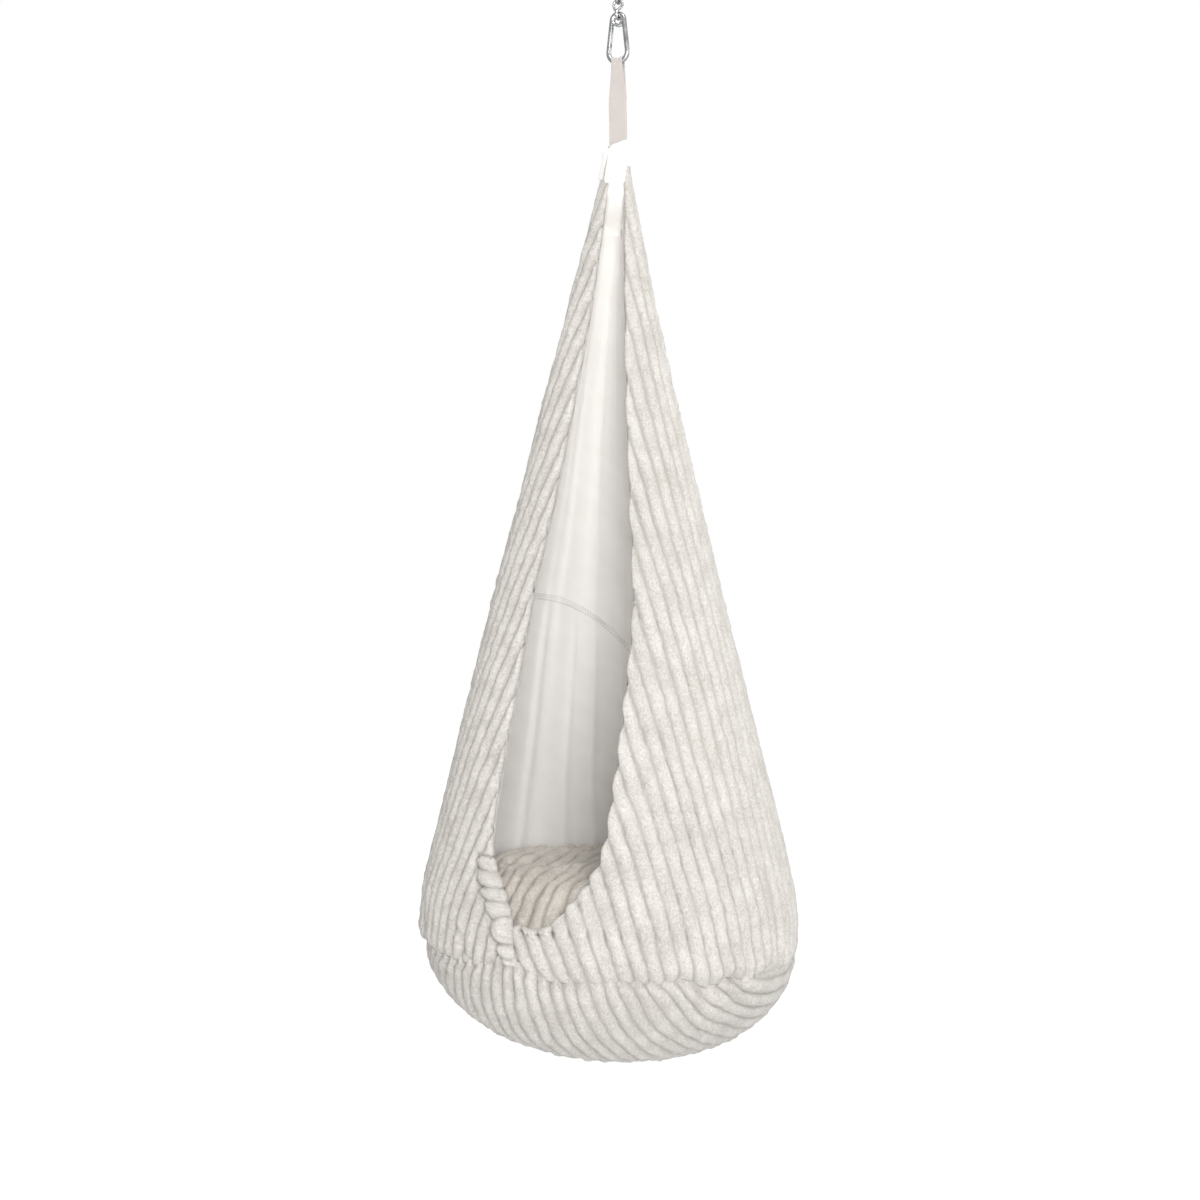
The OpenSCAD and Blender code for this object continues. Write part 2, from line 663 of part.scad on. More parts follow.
module side_panel(side) {
    low = base_seam_drop - seam_gap / 2;
    far = cloth_len(low);
    half = wale_pitch / 2;
    corner = 2;
    from = far * sin((front_edge(side, low) - grain_angle) * cone_sine) + corner;
    to = far * sin((back_edge - grain_angle) * cone_sine) - corner;
    first = ceil((from + half / 3) / half);
    last = floor((to - half / 3) / half);
    across = concat([from], [for (k = [first:-1]) k * half],
        [for (a = neck_fills) if (a < 0) a], [0], [for (a = neck_fills) if (a > 0) a],
        [for (k = [1:last]) k * half], [to]);
    count = len(across);
    start = [for (a = across) in_panel(side, a, 0) ? 0 : rib_start(side, a, 0, low, 24)];
    // 0 on the top of a rib and 1 in the groove beside it
    function groove(a) = a == from || a == to ? 0.5 : abs(1 - abs(a / half) % 2);
    function depth_in(k, i, h) = wale_depth * plush_at(h) / plush_t
        * min(1, groove(across[k]) + (i == 0 || i == top_steps + 2 ? 0.35 : 0));
    order = side > 0 ? [0:1:count - 1] : [count - 1:-1:0];
    rows = [0:top_steps + len(shoulder_rows)];
    function line(k, outer) = [for (i = rows) let (h = rib_row(start[k], low, i))
        skin(side * rib_angle(across[k], h), h, outer ? depth_in(k, i, h) : plush_at(h))];
    keep = [for (j = [0:count - 1]) let (k = side > 0 ? j : count - 1 - j)
        if (j == 0 || j == count - 1 || abs(across[k]) < 9.5 * half || j % 2 == 0) j];
    color(plush) slab([for (k = order) line(k, true)], [for (k = order) line(k, false)], keep);
}

module left_panel() { side_panel(-1); }
module right_panel() { side_panel(1); }

// A round panel of the bowl is a row of straight lines of points that run from front to back
disc_steps = 10;
crown_steps = 8;
hidden_step = 4;
function half_columns(edge) = floor((edge - wale_pitch / 4) / (wale_pitch / 2));
function disc_columns(edge) = let (n = half_columns(edge))
    concat([-edge], [for (k = [-n:1:n]) k * wale_pitch / 2], [edge]);
// Of those columns, a hidden face has only some, with one more near each end
function disc_keep(edge) = let (n = half_columns(edge), last = n - n % hidden_step)
    [for (k = [-n - 1:1:n + 1])
        if (abs(k) == n + 1 || abs(k) % hidden_step == 0 || abs(k) == floor((last + n + 1) / 2))
            k + n + 1];
function hidden_columns(edge) = let (all = disc_columns(edge)) [for (k = disc_keep(edge)) all[k]];
function disc_line(x, rim, back_first, steps) = let (c = sqrt(rim * rim - x * x))
    [for (i = [0:steps]) (back_first ? c : -c) * cos(180 * i / steps)];
function rim_at(h, inside) = pod_radius(h, inside);

// Lines of points of the bowl, inside its outer skin by the depths and lifted off it
function bowl_grid(columns, depths, lifts, rim_h) = [for (k = [0:len(columns) - 1]) let (
    x = columns[k], rim = rim_at(rim_h, depths[k]))
    [for (y = disc_line(x, rim, false, disc_steps))
        place(x, y, bowl_drop(norm([x, y]), depths[k], lifts[k]))]];
function all_of(columns, value) = [for (x = columns) value];

function disc_ribs(columns) = [for (x = columns) let (k = round(abs(x) / (wale_pitch / 2)))
    abs(x) == abs(columns[0]) ? wale_depth / 2 : (k % 2) * wale_depth];

module base_panel() {
    rim_h = base_seam_drop + seam_gap / 2;
    edge = rim_at(rim_h, plush_t) - 2;
    columns = disc_columns(edge);
    ribs = disc_ribs(columns);
    back = all_of(columns, plush_t);
    color(plush) slab(bowl_grid(columns, ribs, ribs, rim_h),
        bowl_grid(columns, back, back, rim_h), disc_keep(edge));
}

lining_out = plush_t + lining_gap;
lining_in = lining_out + lining_t;
lining_lift = plush_t + soft_gap + lining_t;

// Hidden layer of the bowl between two skins, each given by its inset and its lift
module bowl_layer(outer, inner, rim_h) {
    columns = hidden_columns(rim_at(rim_h, inner[0]) - 2);
    slab(bowl_grid(columns, all_of(columns, outer[0]), all_of(columns, outer[1]), rim_h),
        bowl_grid(columns, all_of(columns, inner[0]), all_of(columns, inner[1]), rim_h),
        [for (k = [0:len(columns) - 1]) k]);
}

module base_lining() {
    color(cotton) bowl_layer([lining_out, lining_lift - lining_t], [lining_in, lining_lift],
        base_seam_drop + seam_gap / 2);
}

// The upper lining is sewn to the lower one on a curve that drops towards the back
function lining_seam(angle) = lining_seam_drop
    + lining_seam_dip * pow(min(1, max(0, (262 - angle) / 90)), 3);
function lining_depth(h) = plush_at(h) + lining_gap * (0.6 + 0.4 * smooth(h / 200));

// Angle of a lining column: it follows the entrance, set back a little from the plush
function lining_angle(t, h) = let (
    e = min(h, entrance_low),
    set_back = 3 * 57.3 / pod_radius(e, 0),
    from = lookup(e, right_edge) + set_back,
    to = 360 + lookup(e, left_edge) - set_back)
    from + (to - from) * t;

// Wall of lining with rows of points at the shares of its height that rows lists
module wall_lining(rows, top, low) {
    columns = 30;
    function wall(k, f, inside) = let (
        t = k / columns,
        a = lining_angle(t, entrance_mid),
        h = top(a) + (low(a) - top(a)) * f(a))
        skin(lining_angle(t, h), h, plush_at(h)
            + (lining_depth(h) - plush_at(h)) * (k == 0 || k == columns ? 0.6 : 1) + inside);
    color(cotton) slab([for (k = [0:columns]) [for (f = rows) wall(k, f, 0)]],
        [for (k = [0:columns]) [for (f = rows) wall(k, f, lining_t)]],
        [for (k = [0:columns]) k]);
}

module upper_lining() {
    wall_lining([for (i = [0:6]) let (f = pow(i / 6, 1.8)) function(a) f],
        function(a) 50, function(a) lining_seam(a) - seam_gap / 2);
}

// The shoulder of the pod needs rows at the same depths as the side panels
module lower_lining() {
    low = base_seam_drop - seam_gap / 2;
    function share(a, h) = (h - lining_seam(a) - seam_gap / 2)
        / (low - lining_seam(a) - seam_gap / 2);
    shoulder = widest_drop - shoulder_h;
    wall_lining([function(a) 0, function(a) share(a, shoulder) / 2,
        function(a) share(a, shoulder),
        function(a) share(a, shoulder + (low - shoulder) * shoulder_rows[0]), function(a) 1],
        function(a) lining_seam(a) + seam_gap / 2, function(a) low);
}

// Lining below the entrance: its top edge follows the low edge of the entrance
module front_lining() {
    columns = 9;
    steps = 3;
    set_back = 3;
    left = lookup(entrance_low, left_edge) + 0.3;
    right = lookup(entrance_low, right_edge) - 0.3;
    low_edge = [for (p = left_edge) if (p[0] >= entrance_low && p[0] < edge_cross) [p[1], p[0]]];
    low_edge_right = [for (i = [len(right_edge) - 1:-1:0]) let (p = right_edge[i])
        if (p[0] >= entrance_low && p[0] < edge_cross - 1) [p[1], p[0]]];
    top_edge = concat([[left, entrance_low]], low_edge, low_edge_right, [[right, entrance_low]]);
    low = base_seam_drop - seam_gap / 2;
    function wall(k, i, inside) = let (
        a = left + (right - left) * k / columns,
        top = lookup(a, top_edge) + set_back,
        h = top + (low - top) * i / steps)
        skin(a, h, inside);
    color(cotton) slab(
        [for (k = [0:columns]) [for (i = [0:steps]) wall(k, i, lining_out)]],
        [for (k = [0:columns]) [for (i = [0:steps]) wall(k, i, lining_in)]],
        [for (k = [0:columns]) k]);
}

// Cushion: a crowned ribbed top, a base that fills the bowl, and the filling
cushion_out = lining_in + cushion_gap;
cushion_lift = lining_lift + soft_gap;
cushion_r = rim_at(cushion_seam_drop, cushion_out);
function crown(r, inside) = cushion_seam_drop - (cushion_seam_drop - crown_drop - inside)
    * sqrt(max(0, 1 - pow(r / (cushion_r - inside), 4)));
function crown_grid(columns, depths) = [for (k = [0:len(columns) - 1]) let (
    x = columns[k], rim = cushion_r - depths[k])
    [for (y = disc_line(x, rim, true, crown_steps))
        place(x, y, crown(norm([x, y]), depths[k]) - seat_gap)]];

module cushion_top() {
    back = wale_depth + cover_t;
    edge = cushion_r - back - 2;
    columns = disc_columns(edge);
    color(plush) slab(crown_grid(columns, disc_ribs(columns)),
        crown_grid(columns, all_of(columns, back)), disc_keep(edge));
}

module cushion_base() {
    color(plush) bowl_layer([cushion_out, cushion_lift],
        [cushion_out + cover_t, cushion_lift + cover_t], cushion_seam_drop);
}

module cushion_filling() {
    top_in = wale_depth + cover_t + 2 * cushion_gap;
    low_in = cushion_out + cover_t + 3 * cushion_gap;
    lift = cushion_lift + cover_t + soft_gap;
    rim = cushion_r - top_in - 2 * cushion_gap;
    columns = hidden_columns(rim - 2);
    function layer(drop) = [for (x = columns) [for (y = disc_line(x, rim, false, disc_steps))
        place(x, y, drop(norm([x, y])))]];
    color([0.98, 0.98, 0.96]) slab(layer(function(r) bowl_drop(r, low_in, lift)),
        layer(function(r) crown(r, top_in)), [for (k = [0:len(columns) - 1]) k]);
}

ceiling_plate();
bearing_housing();
lower_race();
bearing_balls();
ball_cage();
upper_race();
thrust_washer();
lock_nut();
swivel_eye();
upper_link();
lower_link();
hook_body();
hook_eyelet();
hook_gate();
gate_rivet();
latch_pin();
gate_plunger();
gate_spring();
strap_loop();
lining_top();
left_panel();
right_panel();
base_panel();
upper_lining();
lower_lining();
front_lining();
base_lining();
cushion_top();
cushion_base();
cushion_filling();
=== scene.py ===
import math

import bpy
import numpy as np
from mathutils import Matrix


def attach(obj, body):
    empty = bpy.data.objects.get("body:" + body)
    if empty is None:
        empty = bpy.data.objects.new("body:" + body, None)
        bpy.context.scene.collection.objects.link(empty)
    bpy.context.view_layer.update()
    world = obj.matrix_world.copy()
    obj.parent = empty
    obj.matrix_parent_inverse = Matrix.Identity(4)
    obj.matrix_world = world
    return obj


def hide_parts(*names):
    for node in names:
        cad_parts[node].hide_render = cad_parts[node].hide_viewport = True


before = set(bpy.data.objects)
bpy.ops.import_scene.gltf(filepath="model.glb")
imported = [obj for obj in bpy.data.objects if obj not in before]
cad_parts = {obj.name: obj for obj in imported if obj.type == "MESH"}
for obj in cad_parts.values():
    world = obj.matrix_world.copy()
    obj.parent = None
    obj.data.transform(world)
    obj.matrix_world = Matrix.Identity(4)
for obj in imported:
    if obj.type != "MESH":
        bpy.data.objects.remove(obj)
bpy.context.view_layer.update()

# Camera: to the right of the entrance and level with the middle of the pod, so that one
# looks into the opening past the right panel. The webbing hangs just right of the middle.
view_angle = math.radians(24)
camera_distance = 3.0
camera_z = -1.0527
aim_left_of_strap = 0.0294
bpy.ops.object.camera_add(
    location=(
        camera_distance * math.sin(view_angle) - aim_left_of_strap * math.cos(view_angle),
        -camera_distance * math.cos(view_angle) - aim_left_of_strap * math.sin(view_angle),
        camera_z,
    ),
    rotation=(math.pi / 2, 0, view_angle),
)
camera = bpy.context.object
camera.data.sensor_width = 36
camera.data.lens = 55.08
bpy.context.scene.camera = camera

# Ceiling plate and bearing cup: a turned cup welded under a round plate with four screw
# holes. Both are mild steel, zinc plated, so they are a cool grey with cloudy patches.


def new_finish(name):
    finish = bpy.data.materials.new(name)
    finish.use_nodes = True
    tree = finish.node_tree
    return finish, tree, tree.nodes["Principled BSDF"]


def add_node(tree, kind, inputs=None, **settings):
    node = tree.nodes.new(kind)
    for key, value in settings.items():
        setattr(node, key, value)
    for key, value in (inputs or {}).items():
        if isinstance(value, bpy.types.NodeSocket):
            tree.links.new(value, node.inputs[key])
        else:
            node.inputs[key].default_value = value
    return node


def speckle(tree, place, scale, detail=3.0, rough=0.55):
    return add_node(
        tree,
        "ShaderNodeTexNoise",
        {"Vector": place, "Scale": scale, "Detail": detail, "Roughness": rough},
    ).outputs["Fac"]


def between(tree, amount, dark, light, low=0.35, high=0.65):
    ramp = add_node(tree, "ShaderNodeValToRGB", {"Fac": amount})
    ends = ramp.color_ramp.elements
    ends[0].position, ends[1].position = low, high
    ends[0].color, ends[1].color = (*dark, 1), (*light, 1)
    return ramp.outputs["Color"]


def stretched(tree, place, scale, turn=(0, 0, 0)):
    return add_node(
        tree, "ShaderNodeMapping", {"Vector": place, "Scale": scale, "Rotation": turn}
    ).outputs["Vector"]


def raised(tree, height, distance, strength=1.0, normal=None):
    inputs = {"Height": height, "Distance": distance, "Strength": strength}
    if normal is not None:
        inputs["Normal"] = normal
    return add_node(tree, "ShaderNodeBump", inputs).outputs["Normal"]


def metal_finish(name, dark, light, rough_low, rough_high, cloud_scale, scratch=0.00004):
    finish, tree, surface = new_finish(name)
    place = add_node(tree, "ShaderNodeTexCoord").outputs["Object"]
    clouds = speckle(tree, place, cloud_scale, 5.0)
    grains = speckle(tree, place, 1400, 2.0)
    scratches = speckle(tree, stretched(tree, place, (300, 300, 40), (0.4, 0.2, 0)), 6, 3.0)
    tree.links.new(between(tree, clouds, dark, light), surface.inputs["Base Color"])
    rough = add_node(
        tree,
        "ShaderNodeMapRange",
        {
            "Value": clouds,
            "From Min": 0.3,
            "From Max": 0.7,
            "To Min": rough_low,
            "To Max": rough_high,
        },
    )
    tree.links.new(rough.outputs["Result"], surface.inputs["Roughness"])
    wear_bump_and_groove_shade = raised(tree, scratches, scratch * 2)
    tree.links.new(raised(tree, grains, scratch, normal=wear_bump_and_groove_shade), surface.inputs["Normal"])
    surface.inputs["Metallic"].default_value = 1.0
    return finish


def give_finish(finish, *nodes):
    for node in nodes:
        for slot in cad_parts[node].material_slots:
            slot.material = finish


zinc = metal_finish("zinc_plate", (0.42, 0.425, 0.44), (0.66, 0.665, 0.67), 0.24, 0.42, 160)
give_finish(zinc, "ceiling_plate", "bearing_housing")

# Thrust bearing: two ground races, a ring of twelve balls and a pressed brass cage.
# It is shut inside the cup and wet with a film of oil, so it is smooth and bright.
ground_steel = metal_finish(
    "ground_steel", (0.52, 0.53, 0.54), (0.64, 0.65, 0.66), 0.1, 0.2, 90, 0.00001
)
pressed_brass = metal_finish(
    "pressed_brass", (0.56, 0.38, 0.14), (0.72, 0.52, 0.22), 0.22, 0.38, 120, 0.00003
)
give_finish(ground_steel, "lower_race", "upper_race", "bearing_balls")
give_finish(pressed_brass, "ball_cage")

# Swivel: a stem with a welded ring, held up by a washer and a lock nut on the bearing.
# The ring is rubbed bright and smooth on the inside by the link that hangs in it.
swivel_steel = metal_finish(
    "swivel_steel", (0.45, 0.455, 0.465), (0.7, 0.7, 0.705), 0.2, 0.36, 210
)
give_finish(swivel_steel, "thrust_washer", "lock_nut", "swivel_eye")

# Chain: two twisted links of round wire, each bent to an oval, butt welded in the middle
# of one leg and turned a quarter turn, so that its two bends lie across each other.
link_finish = metal_finish(
    "link_wire", (0.36, 0.365, 0.375), (0.5, 0.505, 0.51), 0.26, 0.36, 120, 0.00001
)
wire_r = 2.3
weld_rise = 0.28
weld_half_w = 2.2
bend_r = 7.5
link_span = 30.6


def smooth(t):
    s = np.clip(t, 0.0, 1.0)
    return s * s * (3 - 2 * s)


def bell(x, width, power=2):
    """1 where x is 0, and next to nothing beyond twice the width."""
    return np.exp(-((x / width) ** power))


def link_path(count):
    """Closed centre line of a link, low bend first: place along X, turn, and height."""
    leg = link_span - 2 * bend_r
    arc = math.pi * bend_r
    s = np.arange(count) / count * (2 * arc + 2 * leg)
    a = np.clip(s, 0, arc) / bend_r + math.pi
    b = np.clip(s - arc - leg, 0, arc) / bend_r
    across = np.where(s <= arc, bend_r * np.cos(a), bend_r * np.cos(b))
    height = np.where(s <= arc, bend_r + bend_r * np.sin(a), 0)
    up = (s > arc) & (s <= arc + leg)
    top = (s > arc + leg) & (s <= 2 * arc + leg)
    down = s > 2 * arc + leg
    height = np.where(up, bend_r + s - arc, height)
    across = np.where(up, bend_r, across)
    height = np.where(top, link_span - bend_r + bend_r * np.sin(b), height)
    height = np.where(down, link_span - bend_r - (s - 2 * arc - leg), height)
    across = np.where(down, -bend_r, across)
    turn = -math.pi / 2 * (1 - smooth((height - bend_r) / leg))
    return np.stack([across * np.cos(turn), across * np.sin(turn), height], 1)


def tube_piece(name, path, radii, sides, finish):
    """Closed round tube along a loop of points in millimetres."""
    count = len(path)
    along = np.roll(path, -1, 0) - np.roll(path, 1, 0)
    along /= np.linalg.norm(along, axis=1)[:, None]
    side = np.zeros_like(path)
    start = np.array([1.0, 0, 0]) if abs(along[0][0]) < 0.7 else np.array([0, 1.0, 0])
    side[0] = np.cross(along[0], start)
    for i in range(1, count):
        side[i] = side[i - 1] - along[i] * (side[i - 1] @ along[i])
        side[i] /= np.linalg.norm(side[i])
    side[0] /= np.linalg.norm(side[0])
    last = side[-1] - along[0] * (side[-1] @ along[0])
    last /= np.linalg.norm(last)
    slip = math.atan2(np.cross(last, side[0]) @ along[0], last @ side[0])
    up = np.cross(along, side)
    angle = 2 * math.pi * np.arange(sides) / sides
    a = angle[None, :] + (slip * np.arange(count) / count)[:, None]
    rings = path[:, None, :] + radii[:, None, None] * (
        side[:, None, :] * np.cos(a)[..., None] + up[:, None, :] * np.sin(a)[..., None]
    )
    faces = []
    for i in range(count):
        j = (i + 1) % count
        for k in range(sides):
            m = (k + 1) % sides
            faces.append((i * sides + k, i * sides + m, j * sides + m, j * sides + k))
    mesh = bpy.data.meshes.new(name)
    mesh.from_pydata((rings.reshape(-1, 3) / 1000).tolist(), [], faces)
    mesh.shade_smooth()
    mesh.materials.append(finish)
    piece = bpy.data.objects.new(name, mesh)
    bpy.context.collection.objects.link(piece)
    return piece


for link, low_z in (("upper_link", -80.05), ("lower_link", -105.75)):
    path = link_path(180)
    weld_at = np.argmin(np.abs(path[:, 2] - link_span / 2))
    from_weld = np.abs(np.arange(len(path)) - weld_at)
    radii = wire_r + weld_rise * bell(from_weld, weld_half_w)
    path[:, 2] += low_z + wire_r
    wire = tube_piece(link + "_wire", path, radii, 20, link_finish)
    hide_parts(link)
    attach(wire, "upper_chain_link" if link == "upper_link" else "lower_chain_link")

# Snap hook: a pear of 8 mm wire with a pressed-in eyelet and a sprung gate. The wire is
# zinc plated, the eyelet is brighter, and the pins and the spring are plain steel.
hook_wire = metal_finish(
    "hook_wire", (0.36, 0.37, 0.38), (0.5, 0.505, 0.51), 0.28, 0.38, 60, 0.00001
)
eyelet_rim = metal_finish(
    "eyelet_rim", (0.6, 0.6, 0.6), (0.72, 0.72, 0.71), 0.22, 0.3, 80, 0.00001
)
give_finish(hook_wire, "hook_body", "hook_gate", "gate_rivet")
give_finish(eyelet_rim, "hook_eyelet")
give_finish(ground_steel, "latch_pin", "gate_plunger", "gate_spring")

# Webbing loop: one length of cotton webbing, doubled over the hook's wire, cupped there
# by the round of the bow, and closed to two layers that are sewn into the neck.
webbing_w = 30.0
webbing_cupped_w = 19.0
webbing_t = 2.0
webbing_tail = 31.0
webbing_lie = 1.15
hook_wire_r = 4.0
hook_bar_z = -173.85
hook_bow_r = 16.5
pod_top = -310.85
wire_gap = 0.6
parting_len, cupping_len, bowing_len = 52.0, 62.0, 30.0
web_bend_r = hook_wire_r + wire_gap + webbing_t / 2
web_straight = hook_bar_z - (pod_top - webbing_tail)


def cloth_finish(name, sheen, rough=0.9):
    """Matt cloth whose patterns follow its UV map, in millimetres of cloth."""
    finish, tree, surface = new_finish(name)
    surface.inputs["Roughness"].default_value = rough
    surface.inputs["Sheen Weight"].default_value = sheen
    surface.inputs["Sheen Roughness"].default_value = 0.45
    surface.inputs["Specular IOR Level"].default_value = 0.15
    cloth = add_node(tree, "ShaderNodeUVMap", uv_map="cloth").outputs["UV"]
    return finish, tree, surface, cloth


def threads(tree, cloth, pitch, turn=0.0, wobble=1.0):
    """Rows of round threads of that pitch in millimetres, across the cloth's U direction."""
    return add_node(
        tree,
        "ShaderNodeTexWave",
        {
            "Vector": stretched(tree, cloth, (1, 1, 1), (0, 0, turn)),
            "Scale": 2 * math.pi / (20 * pitch),
            "Distortion": wobble,
            "Detail": 2.0,
            "Detail Scale": 1.5,
        },
        wave_type="BANDS",
        bands_direction="X",
        wave_profile="SIN",
    ).outputs["Fac"]


def arithmetic(tree, operation, a, b=0.0):
    node = tree.nodes.new("ShaderNodeMath")
    node.operation = operation
    for socket, value in zip(node.inputs, (a, b)):
        if isinstance(value, bpy.types.NodeSocket):
            tree.links.new(value, socket)
        else:
            socket.default_value = value
    return node.outputs["Value"]


def weighted(tree, *parts):
    """Sum of several values, each given with its weight."""
    total = None
    for value, weight in parts:
        part = arithmetic(tree, "MULTIPLY", value, weight)
        total = part if total is None else arithmetic(tree, "ADD", total, part)
    return total


webbing_finish, tree, surface, cloth = cloth_finish("webbing_cotton", 0.15)
weft = threads(tree, cloth, 1.1, math.pi / 2, 0.6)
warp = threads(tree, cloth, 1.5, 0.0, 0.4)
weave = weighted(tree, (weft, 0.7), (warp, 0.3))
fuzz = speckle(tree, cloth, 1.6, 4.0)
tone = weighted(tree, (weave, 0.5), (fuzz, 0.6))
shade = between(tree, tone, (0.46, 0.415, 0.388), (0.61, 0.563, 0.535), 0.25, 0.8)
tree.links.new(shade, surface.inputs["Base Color"])
tree.links.new(
    raised(tree, fuzz, 0.0002, normal=raised(tree, weave, 0.00035)), surface.inputs["Normal"]
)


def clear_selection():
    if bpy.context.object and bpy.context.object.mode != "OBJECT":
        bpy.ops.object.mode_set(mode="OBJECT")
    bpy.ops.object.select_all(action="DESELECT")


def mesh_points(piece):
    points = np.empty(len(piece.data.vertices) * 3)
    piece.data.vertices.foreach_get("co", points)
    return points.reshape(-1, 3)


def cut_cloth(name, across, along, finish):
    """A flat grid to lay: returns the piece and each point's share across and along it."""
    clear_selection()
    bpy.ops.mesh.primitive_grid_add(x_subdivisions=across, y_subdivisions=along, size=1)
    piece = bpy.context.object
    piece.name = piece.data.name = name
    piece.data.materials.append(finish)
    flat = mesh_points(piece)
    return piece, flat[:, 0] + 0.5, flat[:, 1] + 0.5


def map_cloth(piece, name, u, v):
    """Keeps two lengths per point of a piece in a UV map of that name."""
    mesh = piece.data
    corner = np.empty(len(mesh.loops), int)
    mesh.loops.foreach_get("vertex_index", corner)
    layer = mesh.uv_layers.get(name) or mesh.uv_layers.new(name=name)
    layer.data.foreach_set("uv", np.stack([u[corner], v[corner]], 1).ravel())


def lay_cloth(piece, points, u, v, flip=False):
    """Puts a grid's points, in millimetres, in place, and its cloth coordinates in a UV map."""
    mesh = piece.data
    mesh.vertices.foreach_set("co", (points / 1000).ravel())
    for layer in mesh.uv_layers:
        layer.name = "cloth"
    map_cloth(piece, "cloth", u, v)
    if flip:
        mesh.flip_normals()
    mesh.shade_smooth()
    mesh.update()


def reshape(piece, kind, **settings):
    """Adds a modifier with these settings to the active piece, and applies it."""
    bpy.ops.object.modifier_add(type=kind)
    for key, value in settings.items():
        setattr(piece.modifiers[-1], key, value)
    bpy.ops.object.modifier_apply(modifier=piece.modifiers[-1].name)


def weld_points(gap):
    """Merges the active piece's points that lie that close, and turns its faces outward."""
    bpy.ops.object.mode_set(mode="EDIT")
    bpy.ops.mesh.select_all(action="SELECT")
    bpy.ops.mesh.remove_doubles(threshold=gap)
    bpy.ops.mesh.normals_make_consistent(inside=False)
    bpy.ops.object.mode_set(mode="OBJECT")


def web_line(s):
    """Side view of the webbing's middle layer, by the length from its tail up to its top."""
    drop = np.clip(web_straight - s, 0, web_straight)
    spread = smooth(1 - (drop - 1) / parting_len)
    y = webbing_lie + (web_bend_r - webbing_lie) * spread
    z = pod_top - webbing_tail + np.minimum(s, web_straight)
    turn = np.clip((s - web_straight) / web_bend_r, 0, math.pi / 2)
    y = np.where(s > web_straight, web_bend_r * np.cos(turn), y)
    z = np.where(s > web_straight, hook_bar_z + web_bend_r * np.sin(turn), z)
    return y, z


webbing, u, v = cut_cloth("webbing", 24, 300, webbing_finish)
half_len = web_straight + math.pi / 2 * web_bend_r
s = v * 2 * half_len
back = s > half_len
y, z = web_line(np.where(back, 2 * half_len - s, s))
y = np.where(back, y, -y)
cup = smooth(1 - (hook_bar_z - z) / cupping_len)
x = (u - 0.5) * (webbing_w + (webbing_cupped_w - webbing_w) * cup)
rise = hook_bow_r - np.sqrt(hook_bow_r**2 - np.clip(x, -12, 12) ** 2)
z = z + rise * smooth(1 - (hook_bar_z - z) / bowing_len)
x = x + 0.35 * np.sin(z / 17.0) * smooth((hook_bar_z - z) / 40)
y = y + 0.25 * np.sin(z / 11.0 + x / 9.0) * np.sign(y) * smooth((hook_bar_z - z) / 60)
lay_cloth(webbing, np.stack([x, y, z], 1), u * webbing_w, s)
reshape(webbing, "SOLIDIFY", thickness=webbing_t / 1000, offset=0)
reshape(webbing, "BEVEL", width=0.0006, segments=2, limit_method="ANGLE")
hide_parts("strap_loop")
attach(webbing, "pod")

# Neck: the lining's white cloth is gathered round the webbing and stitched through it.
# Its raw upper edge is turned in, and stands a little higher on the right.
neck_r = 20.9
neck_half_d = 15.0
cone_start_r = 3.1
cone_end_r = 304.5
wall_low = 1260
ease = 80
bowl_drop = 214
cone_slope = (cone_end_r - cone_start_r) / (wall_low - ease / 2)
cone_sine = math.sin(math.atan(cone_slope))
widest_r = math.hypot(cone_start_r + cone_slope * wall_low, neck_r) - cone_slope * ease / 2
bowl_power = 2.3
lean, lean_reach = 15.0, 600
tilt, tilt_reach = 0.05, 1100


def neck_radius(h):
    return np.hypot(cone_start_r + cone_slope * h, neck_r)


def pod_radius(h, inside):
    """Radius of the pod at depth h below its neck, for a skin that lies inside the outer one."""
    eased_off = cone_slope * np.clip(h - (wall_low - ease), 0, ease) ** 2 / (2 * ease)
    wall = neck_radius(h) - eased_off - inside
    share = np.clip((h - wall_low) / (bowl_drop - inside), 0, 1)
    bowl = (widest_r - inside) * (1 - share**bowl_power) ** (1 / bowl_power)
    return np.where(h <= wall_low, wall, bowl)


def hang(x, y, h):
    """A point of the pod in millimetres, leaning and tilted the way that it hangs."""
    oval = np.hypot(cone_start_r + cone_slope * h, neck_half_d) / neck_radius(h)
    share = 1 - (1 - np.clip(h / lean_reach, -0.2, 1)) ** 2
    drop = tilt * smooth(h / tilt_reach) * x
    return np.stack([x - lean * share, y * oval, pod_top - h - drop], -1)


def skin(angle, h, inside):
    a, r = np.radians(angle), pod_radius(h, inside)
    return hang(r * np.sin(a), -r * np.cos(a), h)


def drift(x, y, seed):
    """Smooth random field from -1 to 1 that changes over about one unit of x and y."""
    cells = 64
    grid = np.random.default_rng(seed).uniform(-1, 1, (cells, cells))
    i, j = np.floor(x).astype(int), np.floor(y).astype(int)
    s, t = smooth(x - i), smooth(y - j)
    a, b = grid[i % cells, j % cells], grid[(i + 1) % cells, j % cells]
    c, d = grid[i % cells, (j + 1) % cells], grid[(i + 1) % cells, (j + 1) % cells]
    return (a * (1 - s) + b * s) * (1 - t) + (c * (1 - s) + d * s) * t


def half_turn(angle):
    """The same direction as an angle from -180 to 180 degrees."""
    return (angle + 180) % 360 - 180


